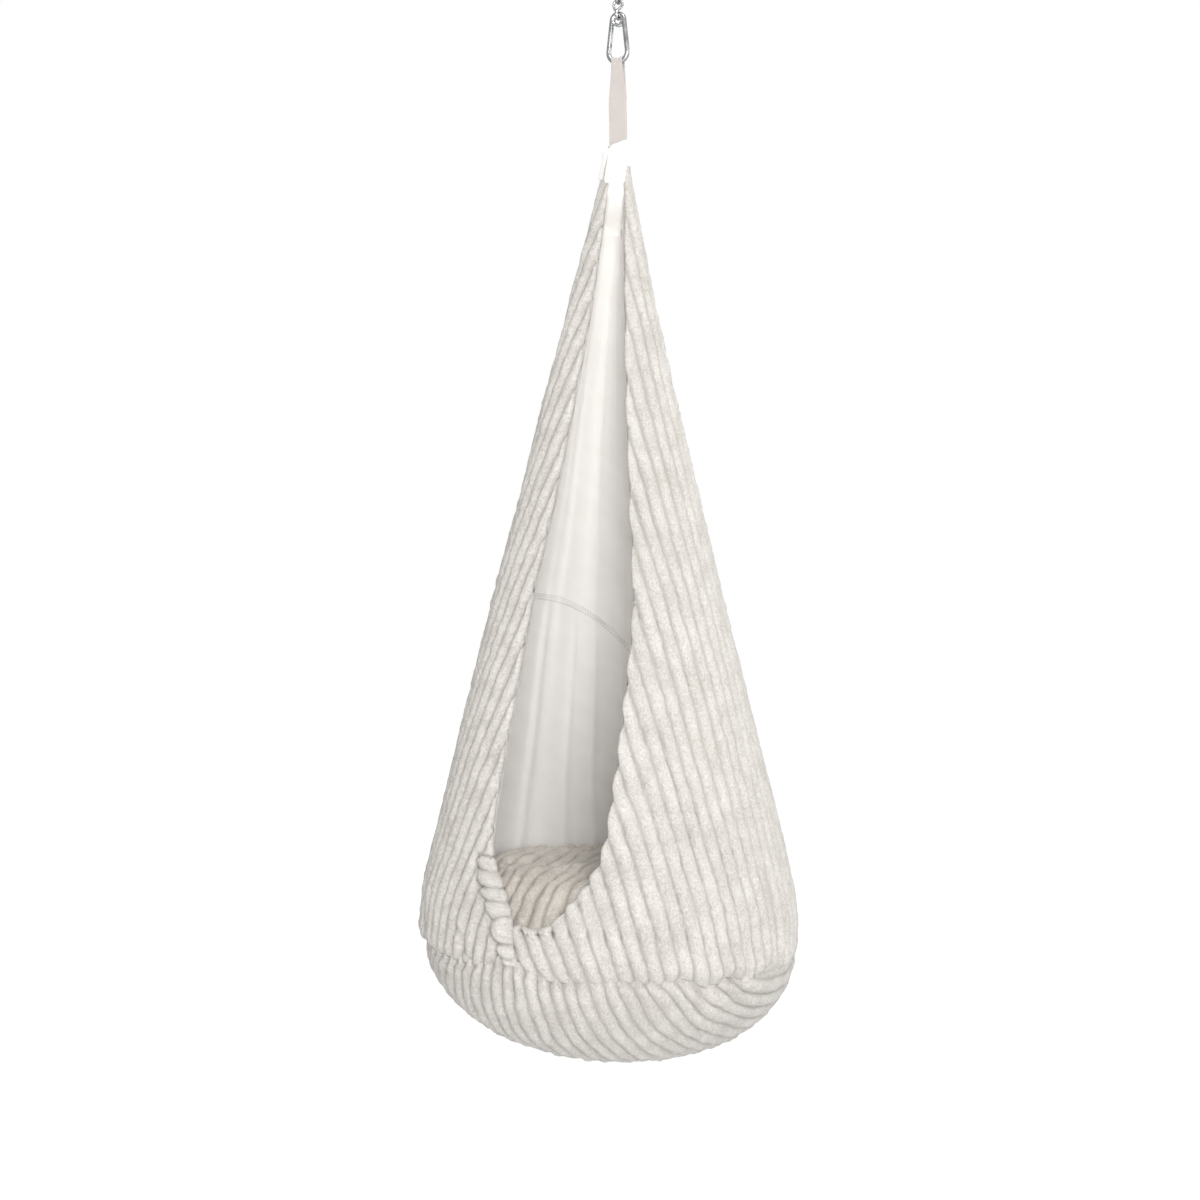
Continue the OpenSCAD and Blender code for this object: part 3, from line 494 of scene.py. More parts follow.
plush_t = 8.5
plush_top_t = 4.0
full_from = 150
left_edge_h = (0, 60, 130, 260, 420, 560, 720, 1080, 1134, 1158, 1192, 1222, 1302)
left_edge_a = (-18, -12, -6, -5, -9, -12, -17.5, -18, -16, -12.5, -7.6, -5.4, -4.2)
right_edge_h = (
    0, 60, 130, 200, 330, 480, 740, 900, 1046, 1108,
    1138, 1160, 1180, 1208, 1222, 1229, 1239, 1249, 1302,
)
right_edge_a = (
    78, 53, 46, 40, 38, 35.5, 34.5, 28.5, 23.5, 21.3,
    19, 16.5, 13.5, 8.8, 6.4, 4.0, -4.6, -6.6, -6.4,
)


def eased(h, depths, angles, reach):
    """The edge's angle at depth h, with its corners eased over that reach each way."""
    return sum(np.interp(h + d * reach, depths, angles) for d in (-1, -0.5, 0, 0.5, 1)) / 5


def left_edge(h):
    return eased(h, left_edge_h, left_edge_a, 16)


def right_edge(h):
    return eased(h, right_edge_h, right_edge_a, 20 - 16.5 * smooth((h - 1130) / 60))


def plush_at(h):
    return plush_top_t + (plush_t - plush_top_t) * smooth(h / full_from)


seam_mark = 100.0
stitch_from_seam = 5.0
stitch_step = 2.6
stitch_len = 1.6


def smooth_step(tree, value, start, end):
    """0 up to start and 1 from end on, in that direction."""
    return add_node(
        tree,
        "ShaderNodeMapRange",
        {"Value": value, "From Min": start, "From Max": end},
        interpolation_type="SMOOTHSTEP",
    ).outputs["Result"]


lining_white, tree, surface, cloth = cloth_finish("lining_cotton", 0.12, 0.85)
beside = add_node(tree, "ShaderNodeUVMap", uv_map="seam").outputs["UV"]
beside = add_node(tree, "ShaderNodeSeparateXYZ", {"Vector": beside})
along_seam, near_seam = beside.outputs["X"], beside.outputs["Y"]
# Painted shade: a darker line along the seam and a darker row of stitch dashes beside it, where
# the seam sinks in.
sewn_line = smooth_step(tree, near_seam, seam_mark - 1.8, seam_mark - 0.4)
from_row = arithmetic(tree, "SUBTRACT", near_seam, seam_mark - stitch_from_seam)
stitch_row = smooth_step(tree, arithmetic(tree, "ABSOLUTE", from_row), 1.1, 0.4)
dash = arithmetic(tree, "PINGPONG", along_seam, stitch_step)
dash = arithmetic(tree, "LESS_THAN", dash, stitch_len)
seam_shade_mask = arithmetic(tree, "MAXIMUM", sewn_line, arithmetic(tree, "MULTIPLY", dash, stitch_row))
threads_both = weighted(
    tree,
    (threads(tree, cloth, 0.9, 0.0, 0.5), 1.0),
    (threads(tree, cloth, 0.9, math.pi / 2, 0.5), 1.0),
)
slubs = speckle(tree, stretched(tree, cloth, (0.5, 0.04, 1)), 1.0, 3.0)
blotches = speckle(tree, cloth, 0.02, 3.0)
tone = weighted(tree, (slubs, 0.35), (blotches, 0.65))
plain = between(tree, tone, (0.9, 0.872, 0.84), (0.95, 0.928, 0.9), 0.3, 0.7)
# Painted shade along the seam: the white cloth is mixed towards a grey-brown there.
seam_shade_mix = add_node(
    tree,
    "ShaderNodeMix",
    {"Factor": arithmetic(tree, "MULTIPLY", seam_shade_mask, 0.75), 6: plain, 7: (0.55, 0.51, 0.47, 1)},
    data_type="RGBA",
)
tree.links.new(seam_shade_mix.outputs[2], surface.inputs["Base Color"])
pulled = raised(tree, arithmetic(tree, "SUBTRACT", 1.0, seam_shade_mask), 0.0008)
thready = raised(tree, threads_both, 0.00015, normal=pulled)
tree.links.new(raised(tree, slubs, 0.0004, normal=thready), surface.inputs["Normal"])

opening_turn = 27
collar_turn = -45
gathers_half_w = 17.2
gathers_half_d = 7.5
ring_share = 0.5
ring_h = 62.0
tongue_h = 74
neck_gathers, u, v = cut_cloth("neck_gathers", 160, 64, lining_white)
turn = u * 360
a = np.radians(turn)
gather = np.sin(9 * a + 1.2 * np.sin(3 * a)) + 0.5 * np.sin(17 * a + 2)
opening_at = math.radians(opening_turn)
tongue = bell(half_turn(turn - opening_turn), 64.0, 4)
below_ring = np.clip((v - ring_share) / (1 - ring_share), 0, 1)
v = np.clip(v / ring_share, 0, 1)
depth = ring_h * v + below_ring * (6 + tongue_h * tongue)
top_rise = 6.2 + 3.8 * np.sin(a - view_angle)
collar = 30 + 24 * bell(half_turn(turn - collar_turn), 50.0, 4)
tucked_in = np.maximum(smooth((depth - collar) / 9), tongue)
spread = smooth((depth + 2) / 13)
under_plush = np.where(tongue > 0.5, 2.5, plush_at(depth) + 1.0)
low_r = pod_radius(depth, -3.0 * (1 - tucked_in) + under_plush * tucked_in)
wide = gathers_half_w + (low_r - gathers_half_w) * spread
deep = gathers_half_d + (low_r - gathers_half_d) * spread
crimp = gather * (0.5 + 0.5 * v) * np.where(v < 0.06, 0.5, 1.0) * (1 - 0.5 * below_ring)
tuck = 3.0 * np.clip(1 - v / 0.05, 0, 1) ** 2
going_back = 1.8 * low_r * tongue * smooth(below_ring)
x = (wide + crimp - tuck) * np.sin(a) - going_back * math.sin(opening_at)
y = -(deep + crimp - tuck) * np.cos(a) + going_back * math.cos(opening_at)
room = pod_radius(depth, plush_at(depth) + 3.4) / np.hypot(x, y)
room = np.where(below_ring > 0, np.minimum(room, 1), 1)
points = hang(x * room, y * room, depth)
points[:, 2] += top_rise * (1 - v) ** 2
lay_cloth(neck_gathers, points, turn / 360 * 150, depth)
clear_selection()
neck_gathers.select_set(True)
weld_points(0.00002)
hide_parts("lining_top")
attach(neck_gathers, "pod")

# Lining: thin cotton in an upper and a lower piece, joined by a curved seam, with a round
# piece below and one under the entrance. It hangs from the hem in long upright folds.
lining_low = 1100.0
seam_low = 1302.0
lining_above_seam = 8
lining_seam_h, lining_seam_dip = 740, 200
lining_seam_r = 210
low_wall_r = 300
right_bunch = 56
radian = 57.3  # degrees, rounded
long_folds = ((238, 1.8), (221, 1.5), (210, 1.4), (255, 2.4), (296, 2.2), (196, 2.0))


def lining_angle(share, h):
    e = np.minimum(h, lining_low)
    set_back = 4.5 * radian / pod_radius(e, 0)
    low, high = right_edge(e) + set_back, 360 + left_edge(e) - set_back
    return low + (high - low) * share


def lining_seam(angle):
    return lining_seam_h + lining_seam_dip * np.clip((262 - angle) / 90, 0, 1) ** 3


def lining_fold(angle, h):
    """How far the lining's folds stand in from the plush, in millimetres."""
    wander = angle + 2.5 * drift(h / 260, angle / 30, 5)
    broad = drift(wander / 11, h / 900, 6) + 0.6 * drift(wander / 4.5, h / 700, 7)
    sharp = sum(bell(wander - place, width) for place, width in long_folds)
    under_seam = smooth((h - lining_seam(angle) + 20) / 120)
    amount = smooth((h - 60) / 300)
    return amount * (2.2 * (1 + broad) + sharp * (1.0 + 3.2 * under_seam))


def seam_depth(angle):
    """The base seam wanders a little, and sags where the cloth bunches at the right."""
    wander = 2.2 * drift(angle / 9 + 20, 0 * angle, 11)
    bunched = 7 * bell(angle - right_bunch, 17) * np.sin(angle / 2.6)
    by_hem = 5 * bell(angle - 7, 7) - 14 * bell(angle + 8, 6)
    return seam_low + wander + bunched + by_hem


def wall_lining(name, node, rows, top, low):
    """A piece of lining on the wall, between two depths that depend on the angle."""
    piece, u, v = cut_cloth(name, 260, rows, lining_white)
    angle = lining_angle(u, 700.0)
    h = top(angle) + (low(angle) - top(angle)) * v
    angle = lining_angle(u, h)
    from_edge = np.minimum(u, 1 - u) * (360 - 35) / radian * pod_radius(h, 0)
    inside = plush_at(h) + 2.2 + lining_fold(angle, h)
    facing = smooth(from_edge / 3) * (1 - smooth((from_edge - 10) / 4))
    inside = inside + 1.6 * facing * smooth(h / 200)
    seam_gap = h - lining_seam(angle)
    seam = np.minimum(np.abs(seam_gap), 60)
    pucker = 0.5 * np.sin(angle * 3.7) * np.exp(-seam / 9)
    inside = inside + 1.1 * bell(seam, 2.2) + pucker
    along = (h + cone_start_r / cone_slope) * math.hypot(1, cone_slope)
    lay_cloth(piece, skin(angle, h, inside), np.radians(angle) * cone_sine * along, along, True)
    seam_gap = np.where(seam_gap > 0, seam_gap, -1.4 * seam_gap)
    beside_seam = np.clip(seam_mark - seam_gap, 0, seam_mark)
    map_cloth(piece, "seam", np.radians(angle) * lining_seam_r, beside_seam)
    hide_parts(node)
    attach(piece, "pod")


wall_lining(
    "lining_upper",
    "upper_lining",
    rows=200,
    top=lambda a: 12 + 0 * a,
    low=lambda a: lining_seam(a) + 1.5,
)
wall_lining(
    "lining_lower",
    "lower_lining",
    rows=150,
    top=lambda a: lining_seam(a) - 0.5,
    low=lambda a: seam_depth(half_turn(a)) - lining_above_seam,
)


def entrance_low(angle):
    """Depth of the entrance's low edge. Its two sides are the low ends of the edges' tables,
    and the right one is read backwards, so that the angles rise."""
    left_h = np.interp(angle + 2.4, left_edge_a[7:], left_edge_h[7:])
    right_h = np.interp(angle, right_edge_a[-3:7:-1], right_edge_h[-3:7:-1]) + 5
    return np.where(angle < -7.8, left_h, right_h)


strip_left, strip_right = -14.5, 18.0
front, u, v = cut_cloth("lining_front", 60, 30, lining_white)
angle = strip_left + (strip_right - strip_left) * u
top = np.maximum(entrance_low(angle), lining_low) + 5
h = top + (seam_depth(angle) - lining_above_seam - top) * v
inside = 12.0 - 1.8 * (1 - v) + 0.6 * drift(angle / 4, h / 60, 8)
lay_cloth(front, skin(angle, h, inside), np.radians(angle) * low_wall_r, h, True)
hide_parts("front_lining")
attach(front, "pod")


def bowl_line(inside, lift, above=6):
    """Radius and depth along the bowl from its seam to its lowest point, by length."""
    share = np.linspace(0, math.pi / 2, 600)
    r = (widest_r - inside) * np.cos(share) ** (2 / bowl_power)
    h = wall_low + (bowl_drop - lift) * np.sin(share) ** (2 / bowl_power)
    keep = h >= seam_low - above
    r, h = np.append(r[keep], 0.0), np.append(h[keep], wall_low + bowl_drop - lift)
    length = np.concatenate([[0], np.cumsum(np.hypot(np.diff(r), np.diff(h)))])
    return length[-1] - length[::-1], r[::-1], h[::-1]


def round_cloth(u, v):
    """Places on a round cut: share of its radius, and the direction's sine and cosine."""
    p, q = 2 * u - 1, 2 * v - 1
    x, y = p * np.sqrt(1 - q * q / 2), q * np.sqrt(1 - p * p / 2)
    r = np.hypot(x, y)
    safe = np.maximum(r, 1e-9)
    return r, x / safe, y / safe


below, u, v = cut_cloth("lining_below", 60, 60, lining_white)
share, sx, sy = round_cloth(u, v)
length, line_r, line_h = bowl_line(12.0, 10.9)
from_middle = share * length.max()
r = np.interp(from_middle, length, line_r)
h = np.interp(from_middle, length, line_h)
lay_cloth(below, hang(r * sx, r * sy, h), from_middle * sx, from_middle * sy)
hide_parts("base_lining")
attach(below, "pod")

# Side panels: cream plush with ribs 25 mm apart, cut from flat cloth so that the ribs run
# straight down each half and turn about the cone. They meet in a seam behind. The hem
# round the entrance is rolled over, and the ribs that end in it make it knobbly.
rib_pitch = 25.0
rib_depth = 9.5
rib_lift = 2.5
grain_angle = 98.0
right_grooves, left_grooves = 0.92, 1.3
furthest_out = 9.5
hem_r = 4.6
hem_rolled = 0.75
seam_roll = 2.6
seam_rolled = 0.6
back_roll = 2.2
columns, roll_columns, back_columns = 318, 12, 6
rows, top_rows, seam_rows = 300, 4, 7
row_shares = (0, 0.8, 0.92, 1)
finely_from = 1120
knob_h = (1118, 1154, 1198, 1224, 1248, 1276, 1302)
knob_w = (20, 28, 35, 34, 30, 20, 12)


def plush_finish(name, groove, low, high):
    """Ribbed plush: a curly pile, pale on the ribs, with painted shade darkening it down in the
    grooves.
    The UV map counts ribs across (U) and 25 mm steps along them (V)."""
    finish, tree, surface, cloth = cloth_finish(name, 0.3, 0.95)
    place = add_node(tree, "ShaderNodeTexCoord").outputs["Object"]
    ribs = add_node(tree, "ShaderNodeSeparateXYZ", {"Vector": cloth}).outputs["X"]
    ragged = arithmetic(tree, "SUBTRACT", speckle(tree, place, 110, 3.0), 0.5)
    ribs = arithmetic(tree, "ADD", ribs, arithmetic(tree, "MULTIPLY", ragged, 0.22))
    across = arithmetic(tree, "PINGPONG", ribs, 0.5)
    # Painted shade: this ramp is 0 down in each groove and 1 on the ribs, and it also dents the
    # grooves.
    groove_shade_ramp = smooth_step(tree, across, 0.0, 0.17)
    tufts = speckle(tree, stretched(tree, cloth, (1, 0.7, 1)), 6.5, 4.0, 0.6)
    curls = speckle(tree, place, 520, 3.0, 0.6)
    fluff = speckle(tree, place, 1500, 2.0, 0.5)
    combed = speckle(tree, place, 26, 3.0, 0.5)
    tone = weighted(tree, (tufts, 0.32), (curls, 0.45), (combed, 0.23))
    pile = between(tree, tone, low, high, 0.4, 0.6)
    # Painted shade: down in the grooves the pile is mixed towards the groove colour.
    wear_bump_and_groove_shade = add_node(
        tree, "ShaderNodeMix", {"Factor": groove_shade_ramp, 6: (*groove, 1), 7: pile}, data_type="RGBA"
    )
    tree.links.new(wear_bump_and_groove_shade.outputs[2], surface.inputs["Base Color"])
    soft = raised(tree, tufts, 0.003, 0.9)
    curly = raised(tree, curls, 0.0018, 0.9, soft)
    shut = raised(tree, groove_shade_ramp, 0.0012, 0.6, curly)
    tree.links.new(raised(tree, fluff, 0.0005, 0.8, shut), surface.inputs["Normal"])
    return finish


# The first colour is painted shade down in the grooves; the other two are the pile's own tones.
cream_plush = plush_finish(
    "cream_plush", (0.48, 0.455, 0.42), (0.45, 0.425, 0.39), (0.68, 0.655, 0.62)
)


def rib_shape(ribs):
    """0 on top of a rib and 1 in the groove beside it; a groove lies at each whole number."""
    near = np.abs(ribs - np.round(ribs)) * 2
    return 0.5 * (1 - near) ** 3.4 + 0.5 * (1 - near) ** 1.6


def cloth_place(angle, h):
    """Where a point of a side panel lay on the flat cloth, across and along the ribs."""
    along = (h + cone_start_r / cone_slope) * math.hypot(1, cone_slope)
    swing = np.radians(angle - grain_angle) * cone_sine
    return along * np.sin(swing), along * np.cos(swing)


def tufting(along, ribs, height, seeds):
    """How far uneven tufts of pile stand up from the ribs, in two sizes."""
    coarse = height * drift(along / 13, ribs * 2.2, seeds[0])
    return coarse + 0.7 * drift(along / 6.5, ribs * 4, seeds[1])


def seam_pinch(from_seam, ribs):
    """How far the base seam draws the plush in, which it does most once in each rib."""
    return 3.2 * bell(from_seam, 6.5) * (1 + 0.5 * np.sin(ribs * 6.28))


panel_creases = (
    ((16.5, 1175), (24.5, 1300), 6.5, 6.5),
    ((66, 1150), (68.5, 1298), 8, 6.0),
    ((79, 1080), (84, 1298), 9, 4.0),
    ((-54, 1190), (-49, 1298), 8, 5.0),
    ((-27, 1245), (-22, 1300), 6, 4.5),
    ((150, 1120), (156, 1298), 9, 4.5),
    ((-128, 1140), (-132, 1298), 9, 4.5),
)


def crease(angle, h, start, end, width, depth):
    """A valley along a line from start to end, each an angle and a depth below the neck."""
    per_degree = low_wall_r * math.pi / 180
    ax, ay, bx, by = start[0] * per_degree, start[1], end[0] * per_degree, end[1]
    x, y = angle * per_degree, h
    t = ((x - ax) * (bx - ax) + (y - ay) * (by - ay)) / ((bx - ax) ** 2 + (by - ay) ** 2)
    t = np.clip(t, 0, 1)
    gap = np.hypot(x - ax - t * (bx - ax), y - ay - t * (by - ay))
    return depth * bell(gap, width) * (smooth(t * 4) * 0.7 + 0.3)


def edge_distance(edge, angle, h):
    """How far a point of a panel lies from the entrance's edge, in millimetres."""
    r = pod_radius(h, 0) / radian
    gap = np.full_like(h, 1e9)
    coarse, fine = np.arange(0, finely_from, 20), np.arange(finely_from, seam_low, 3)
    for mark in np.concatenate([coarse, fine]):
        gap = np.minimum(gap, np.hypot((angle - edge(mark)) * r, h - mark))
    return gap


def side_panel(name, node, side, edge, row_h):
    """One side of the pod's plush. The side is 1 for right and -1 for left, the angles are
    counted from the entrance towards the back, and row_h holds depths at row_shares."""
    piece, u, v = cut_cloth(name, columns, rows, cream_plush)

    # Columns: the rolled hem, the wall, and what is turned in at the seam behind.
    roll_share, back_share = roll_columns / columns, back_columns / columns
    turn = np.clip(1 - u / roll_share, 0, 1)
    behind = np.clip((u - 1 + back_share) / back_share, 0, 1)
    main = np.clip((u - roll_share) / (1 - roll_share - back_share), 0, 1)

    # Rows: what is turned in at the neck, the wall, and what is turned in at the base seam.
    low_share, top_share = seam_rows / rows, top_rows / rows
    under = np.clip((v - 1 + low_share) / low_share, 0, 1)
    over = np.clip(1 - v / top_share, 0, 1)
    fall = np.clip((v - top_share) / (1 - top_share - low_share), 0, 1)
    level = np.interp(fall, row_shares, row_h)

    # Each row follows the entrance's edge closely at the hem, and only broadly behind it.
    broad = sum(edge(level + d) for d in range(-120, 121, 40)) / 7
    by_edge = (1 - main) ** 12
    guess = broad + (180 - broad) * main + (edge(level) - broad) * by_edge
    low = seam_depth(side * guess)
    h = level + (low - seam_low) * smooth((level - 1240) / 58)
    r = pod_radius(h, 0)
    hem = hem_r * (0.55 + 0.45 * smooth(h / full_from)) + 1.3 * smooth((h - 1090) / 60)
    lean_of_edge = (edge(level + 1) - edge(level - 1)) / 2 / radian * r
    out_a = 1 / np.hypot(1, lean_of_edge)
    out_h = -lean_of_edge * out_a * smooth((1290 - level) / 30)
    first = edge(level) + out_a * hem / r * radian
    last = 180 - back_roll / r * radian
    angle = broad + (last - broad) * main + (first - broad) * by_edge

    # The hem rolls over square to its edge. At the right its low end is tucked in.
    roll = np.clip(turn / hem_rolled, 0, 1) * math.pi
    tail = np.clip((turn - hem_rolled) / (1 - hem_rolled), 0, 1) * 9
    step = np.where(turn > 0, tail - hem * np.sin(roll), 0)
    h = h + out_h * (hem * bell((angle - first) / radian * r, 26) + step)
    step = step * out_a
    sunk = 0 * h
    if side > 0:
        h = h - 11 * smooth((2.5 - angle) / 7) * smooth((1296 - h) / 60)
        tucked = smooth((1 - angle) / 5) * smooth((h - 1222) / 10)
        sunk = 4.0 * tucked * smooth((-1.5 - angle) / 4)
    from_hem = edge_distance(edge, angle, h) - hem

    # The other three edges are turned in too.
    close = behind * math.pi / 2
    step = step + back_roll * np.sin(close)
    sunk = sunk + back_roll - back_roll * np.cos(close) + 5 * smooth(behind * 3 - 2)
    shut = np.clip(under / seam_rolled, 0, 1) * math.pi / 2
    pushed_in = 7 * np.clip((under - seam_rolled) / (1 - seam_rolled), 0, 1)
    h = h + 3.6 * np.sin(shut) - 3 * np.sin(over * 1.57)
    sunk = sunk + seam_roll - seam_roll * np.cos(shut) + pushed_in
    sunk = sunk + 3 - 3 * np.cos(over * 1.57)

    # The ribs wander a little, and their grooves are deeper by the hem and the base seam.
    across, along = cloth_place(angle, h)
    across = across + 2.2 * drift(along / 110, across / 60 + 9, 21 + side)
    across = across + 1.3 * drift(along / 30, across / 30, 23 + side)
    across = across + 0.8 * drift(along / 11, across / 12, 35 + side)
    ribs = across / rib_pitch
    deep = rib_depth * plush_at(h) / plush_t * (1 + 0.22 * drift(along / 40, ribs, 25 + side))
    deep = deep * (right_grooves if side > 0 else left_grooves)
    near_hem = bell(from_hem, 14) * smooth((h - 250) / 300)
    near_seam = bell(low - h, 16)
    groove = deep * rib_shape(ribs) * (1 + 0.2 * near_hem + 0.1 * near_seam)
    if side < 0:
        # Low down beside the left hem, the plush is drawn into a column of round knobs.
        column_w = np.interp(h, knob_h, knob_w)
        upto = smooth((h - 1126) / 20)
        column = upto * smooth((column_w + 1 - from_hem) / 5)
        knob = (h + 0.05 * from_hem) * 1.08 / rib_pitch
        knob = knob + 0.45 * drift(h / 30, from_hem / 30, 33)
        off_middle = np.clip((from_hem - column_w / 2) / (column_w / 2), -1, 1)
        knobs = 10 * rib_shape(knob) - 7.0 * (1 - off_middle**2)
        edge_line = 7.5 * upto * bell(from_hem - column_w - 2, 4.2)
        groove = groove * (1 - column) + knobs * column + edge_line
        ribs = np.where(column > 0.5, knob, ribs)

    # Uneven pile, folds in the low wall, and what the base seam gathers and draws in.
    lumps = tufting(along, ribs, 1.1, (27 + side, 29 + side))
    swell = 1.8 * drift(along / 190, across / 110, 31 + side) * smooth(h / 300)
    puff = lumps * smooth(h / 120) + swell
    flat_angle = side * angle
    folds = sum(crease(flat_angle, h, *valley) for valley in panel_creases)
    bunch = bell(flat_angle - right_bunch, 19) + 0.45 * bell(flat_angle + 60, 14)
    overhang = -7.5 * bunch * bell(low - h - 20, 15)
    press = groove - rib_lift * smooth(h / full_from) - puff + folds + overhang
    press = press + seam_pinch(low - h, ribs)
    press = np.where(under + over > 0, press, np.minimum(press, plush_at(h) + 1.0))

    # Round the roll, the outer face goes over into the hem's inner face.
    cos_roll = np.where(turn > 0, np.cos(roll), 1.0)
    sin_roll = np.where(turn > 0, np.sin(roll), 0.0)
    under_face = np.maximum(2 * hem, press + 1.5)
    inside = sunk + press + (under_face - press) * (1 - cos_roll) / 2
    bite = 0.85 - 0.55 * smooth((level - 1205) / 20)
    angle = angle + (step + (groove - puff) * bite * sin_roll) / r * radian
    points = skin(side * angle, h, np.maximum(inside, -furthest_out))
    lay_cloth(piece, points, ribs, along / rib_pitch, side > 0)
    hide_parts(node)
    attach(piece, "pod")


side_panel(
    "plush_left",
    "left_panel",
    side=-1,
    edge=lambda h: -left_edge(h),
    row_h=(3, 1090, 1220, seam_low - 4),
)
side_panel(
    "plush_right",
    "right_panel",
    side=1,
    edge=right_edge,
    row_h=(3, 1222, 1246, seam_low - 4),
)

# Base panel: a round of the same plush sewn to both side panels. Its ribs run from front
# to back, its edge is puckered by the seam, and it is crumpled where it bunches.
sewn_share = 0.975
deepest_groove = 10.0
base, u, v = cut_cloth("plush_base", 300, 300, cream_plush)
share, sx, sy = round_cloth(u, v)
turned_in = np.clip((share - sewn_share) / (1 - sewn_share), 0, 1)
length, line_r, line_h = bowl_line(0.0, 0.0, 30)
angle = np.degrees(np.arctan2(sx, -sy))
seam_at = np.interp(-(seam_depth(angle) + seam_roll), -line_h, length)
from_middle = np.clip(share / sewn_share, 0, 1) * seam_at
from_seam = seam_at - from_middle
flat_x, flat_y = from_middle * sx, from_middle * sy
bunch = bell(angle - right_bunch, 24) + 0.5 * bell(angle + 62, 18)
stray = 2.6 + 12 * bunch * bell(from_seam, 45)
across = flat_x + stray * drift(flat_y / 60, flat_x / 45, 41)
across = across + 1.3 * drift(flat_y / 25, flat_x / 25, 42)
across = across + 0.8 * drift(flat_y / 11, flat_x / 12, 48)
ribs = across / rib_pitch + 0.5
groove = rib_depth * rib_shape(ribs) * (1 + 0.25 * drift(flat_y / 40, ribs, 43))
lumps = tufting(flat_y, ribs, 1.1, (44, 45))
hollow = 9.5 * bunch * bell(from_seam - 4, 16)
wrinkle = drift(from_seam / 17 + angle / 26, angle / 17, 46)
crumple = (7.0 * bunch * bell(from_seam, 55) + 0.8) * wrinkle
inside = groove - rib_lift - lumps + seam_pinch(from_seam, ribs) + hollow
inside = np.minimum(inside - np.clip(crumple, -4, 5), deepest_groove)
shut = turned_in * math.pi / 2
inside = np.minimum(inside + seam_roll - seam_roll * np.cos(shut), deepest_groove + 0.2)
h = np.interp(from_middle, length, line_h)
h_seam = h - 2.4 * np.sin(shut) - 11 * np.clip(turned_in * 2 - 1, 0, 1)
facing_down = smooth((h - 1330) / 100)
radius = np.interp(from_middle, length, line_r) - inside * (1 - 0.75 * facing_down)
points = hang(radius * sx, radius * sy, h_seam - inside * facing_down)
lay_cloth(base, points, ribs, flat_y / rib_pitch)
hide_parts("base_panel")
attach(base, "pod")

# Cushion: a round cover of ribbed plush in warmer tones, with darker painted shade in its
# grooves, stuffed with loose fibre and sewn shut round its side. It fills the bowl, and its
# crown is soft, dented and wrinkled.
# The first colour is painted shade down in the grooves, darker than on the side panels; the
# other two are the pile's own tones.
cushion_plush = plush_finish(
    "cushion_plush", (0.385, 0.345, 0.3), (0.455, 0.415, 0.365), (0.69, 0.645, 0.585)
)
cushion_seam = 1264.0
cushion_inset = 15.0
cushion_r = float(pod_radius(np.array(cushion_seam), cushion_inset))
crown_top = 1180.0
unstuffed = 0.985
most_puff = 0.022
stuffing_steps = 20


def crown_height(share):
    return cushion_seam - (cushion_seam - crown_top) * np.sqrt(np.clip(1 - share**4, 0, 1))


def cushion_half(name, upper):
    """The cover's round upper or lower half, before it is stuffed."""
    half, u, v = cut_cloth(name, 96, 96, cushion_plush)
    share, sx, sy = round_cloth(u, v)
    if upper:
        r = cushion_r * np.sin(share * math.pi / 2) ** 0.9 * unstuffed
        h = crown_height(r / cushion_r) + 9 - 5 * np.cos(share * 3)
        h = h + (cushion_seam - h.max()) * share**6
    else:
        length, line_r, line_h = bowl_line(cushion_inset + 2, 14.0)
        r = np.interp(share * length.max(), length, line_r)
        h = np.interp(share * length.max(), length, line_h)
        h = h - (h.min() - cushion_seam) * share**6
    lay_cloth(half, hang(r * sx, r * sy, h), u, v, upper)
    return half


top_half = cushion_half("cushion", True)
low_half = cushion_half("cushion_low", False)
clear_selection()
for half in (top_half, low_half):
    half.select_set(True)
bpy.context.view_layer.objects.active = top_half
bpy.ops.object.join()
cushion = bpy.context.object
weld_points(0.004)
cushion.data.remesh_voxel_size = 0.0055
bpy.ops.object.voxel_remesh()

before = mesh_points(cushion)
bpy.ops.object.modifier_add(type="CLOTH")
stuffing = cushion.modifiers[-1]
stuffing.settings.use_pressure = True
stuffing.settings.uniform_pressure_force = 4.0
stuffing.settings.effector_weights.gravity = 0.0
stuffing.settings.shrink_min = -0.05
stuffing.point_cache.frame_start, stuffing.point_cache.frame_end = 1, stuffing_steps
for step in range(1, stuffing_steps + 1):
    bpy.context.scene.frame_set(step)
bpy.ops.object.modifier_apply(modifier=stuffing.name)
bpy.context.scene.frame_set(1)
moved = mesh_points(cushion) - before
far = np.linalg.norm(moved, axis=1)[:, None]
puffed = before + moved * np.minimum(1, most_puff / np.maximum(far, 1e-9))
mesh = cushion.data
mesh.vertices.foreach_set("co", puffed.ravel())
mesh.update()
reshape(cushion, "SUBSURF", levels=1, render_levels=1)

places = mesh_points(cushion) * 1000
mesh = cushion.data
normals = np.empty(len(places) * 3)
mesh.vertices.foreach_get("normal", normals)
normals = normals.reshape(-1, 3)
x, y = places[:, 0] + lean, places[:, 1]
upper = smooth((normals[:, 2] + 0.15) / 0.3)
across = x + 7.0 * drift(x / 70, y / 90, 51) + 2.5 * drift(x / 25, y / 35, 52)
ribs = across / rib_pitch
groove = 9.0 * rib_shape(ribs) * (1 + 0.3 * drift(y / 40, ribs, 53)) - 2.0
lumps = tufting(y, ribs, 1.3, (54, 55))
dents = 6.5 * drift(x / 60, y / 75, 56) + 4.0 * drift(x / 28, y / 36, 57)
bent = y - 120 + 0.0022 * (x + 10) ** 2
arch = 8.0 * (np.abs(np.sin(bent / 15)) ** 1.5) * smooth((y - 20) / 60)
tufted = 9.0 * bell(x - 42, 18) * bell(y - 60, 24)
press = upper * (groove + np.clip(dents, -2, 7) + arch * 0.95 + tufted) - lumps
press = np.where(upper > 0.5, press, press * 0.5 + 1.0)
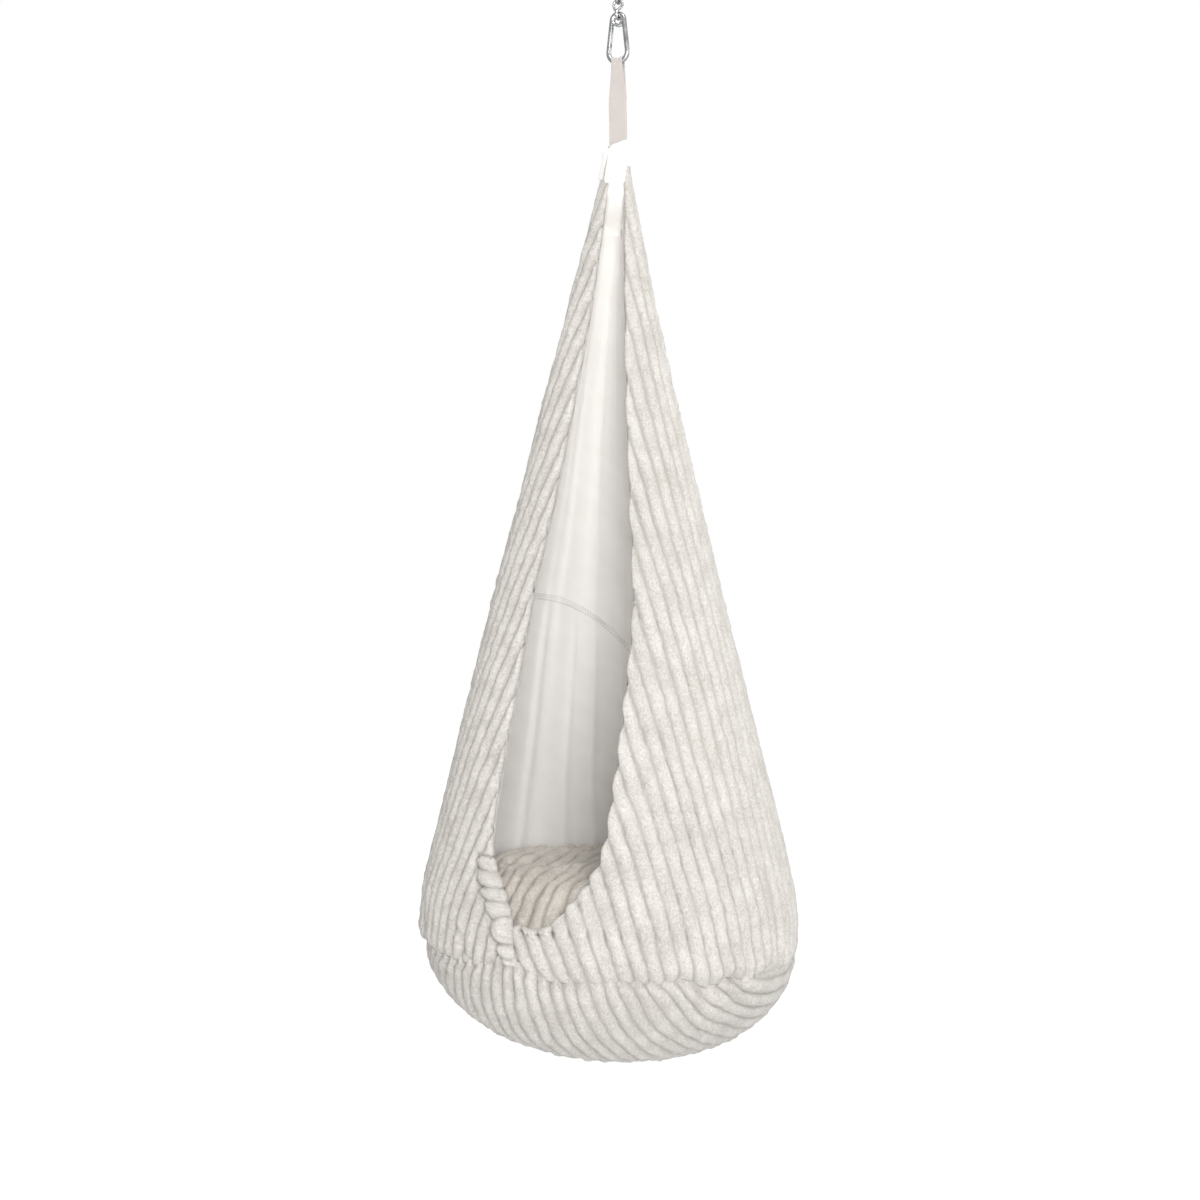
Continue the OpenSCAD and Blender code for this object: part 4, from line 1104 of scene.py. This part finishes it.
places = places - normals * press[:, None]
mesh.vertices.foreach_set("co", (places / 1000).ravel())
mesh.materials.clear()
mesh.materials.append(cushion_plush)
map_cloth(cushion, "cloth", ribs, y / rib_pitch)
mesh.shade_smooth()
mesh.update()
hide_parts("cushion_top", "cushion_base", "cushion_filling")
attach(cushion, "pod")

# Room: a pale floor far below the pod, which glows softly where the camera sees it, a wall
# of even white light all round, and three soft lamps: before, above and behind at the right.
floor_z = -2.35
floor_glow = 1.13
wall_light, wall_seen = 0.56, 1.0
bpy.ops.mesh.primitive_plane_add(size=40, location=(0, 0, floor_z))
floor = bpy.context.object
floor.name = "floor"
floor_paint, tree, surface = new_finish("floor_paint")
surface.inputs["Base Color"].default_value = (0.9, 0.9, 0.9, 1)
surface.inputs["Roughness"].default_value = 0.8
seen = add_node(tree, "ShaderNodeLightPath").outputs["Is Camera Ray"]
glow = add_node(tree, "ShaderNodeEmission", {"Color": (1, 1, 1, 1), "Strength": floor_glow})
mixed = add_node(tree, "ShaderNodeMixShader", {0: arithmetic(tree, "MULTIPLY", seen, 0.82)})
tree.links.new(surface.outputs["BSDF"], mixed.inputs[1])
tree.links.new(glow.outputs["Emission"], mixed.inputs[2])
tree.links.new(mixed.outputs["Shader"], tree.nodes["Material Output"].inputs["Surface"])
floor.data.materials.append(floor_paint)

room = bpy.data.worlds.new("room")
room.use_nodes = True
bpy.context.scene.world = room
tree = room.node_tree
path = add_node(tree, "ShaderNodeLightPath").outputs
white = arithmetic(tree, "MAXIMUM", path["Is Camera Ray"], path["Is Transmission Ray"])
extra = arithmetic(tree, "MULTIPLY", white, wall_seen - wall_light)
strength = arithmetic(tree, "ADD", extra, wall_light)
tree.links.new(strength, tree.nodes["Background"].inputs["Strength"])
tree.nodes["Background"].inputs["Color"].default_value = (1, 1, 1, 1)


def soft_lamp(name, place, aim, size, power):
    clear_selection()
    bpy.ops.object.light_add(type="AREA", location=place)
    lamp = bpy.context.object
    lamp.name = name
    lamp.data.shape = "SQUARE"
    lamp.data.size = size
    lamp.data.energy = power
    gaze = np.array(aim) - np.array(place)
    lamp.rotation_euler = (
        math.atan2(math.hypot(gaze[0], gaze[1]), -gaze[2]),
        0,
        math.atan2(gaze[0], -gaze[1]) + math.pi,
    )


soft_lamp("key_lamp", (1.75, -3.35, -0.6), (0, 0, -1.1), 1.2, 112)
soft_lamp("top_lamp", (1.7, -1.8, 2.8), (0, 0, -1.1), 1.4, 70)
soft_lamp("far_lamp", (3.0, 1.2, 0.3), (0, 0, -1.2), 1.2, 24)

bpy.context.scene.view_settings.view_transform = "Standard"
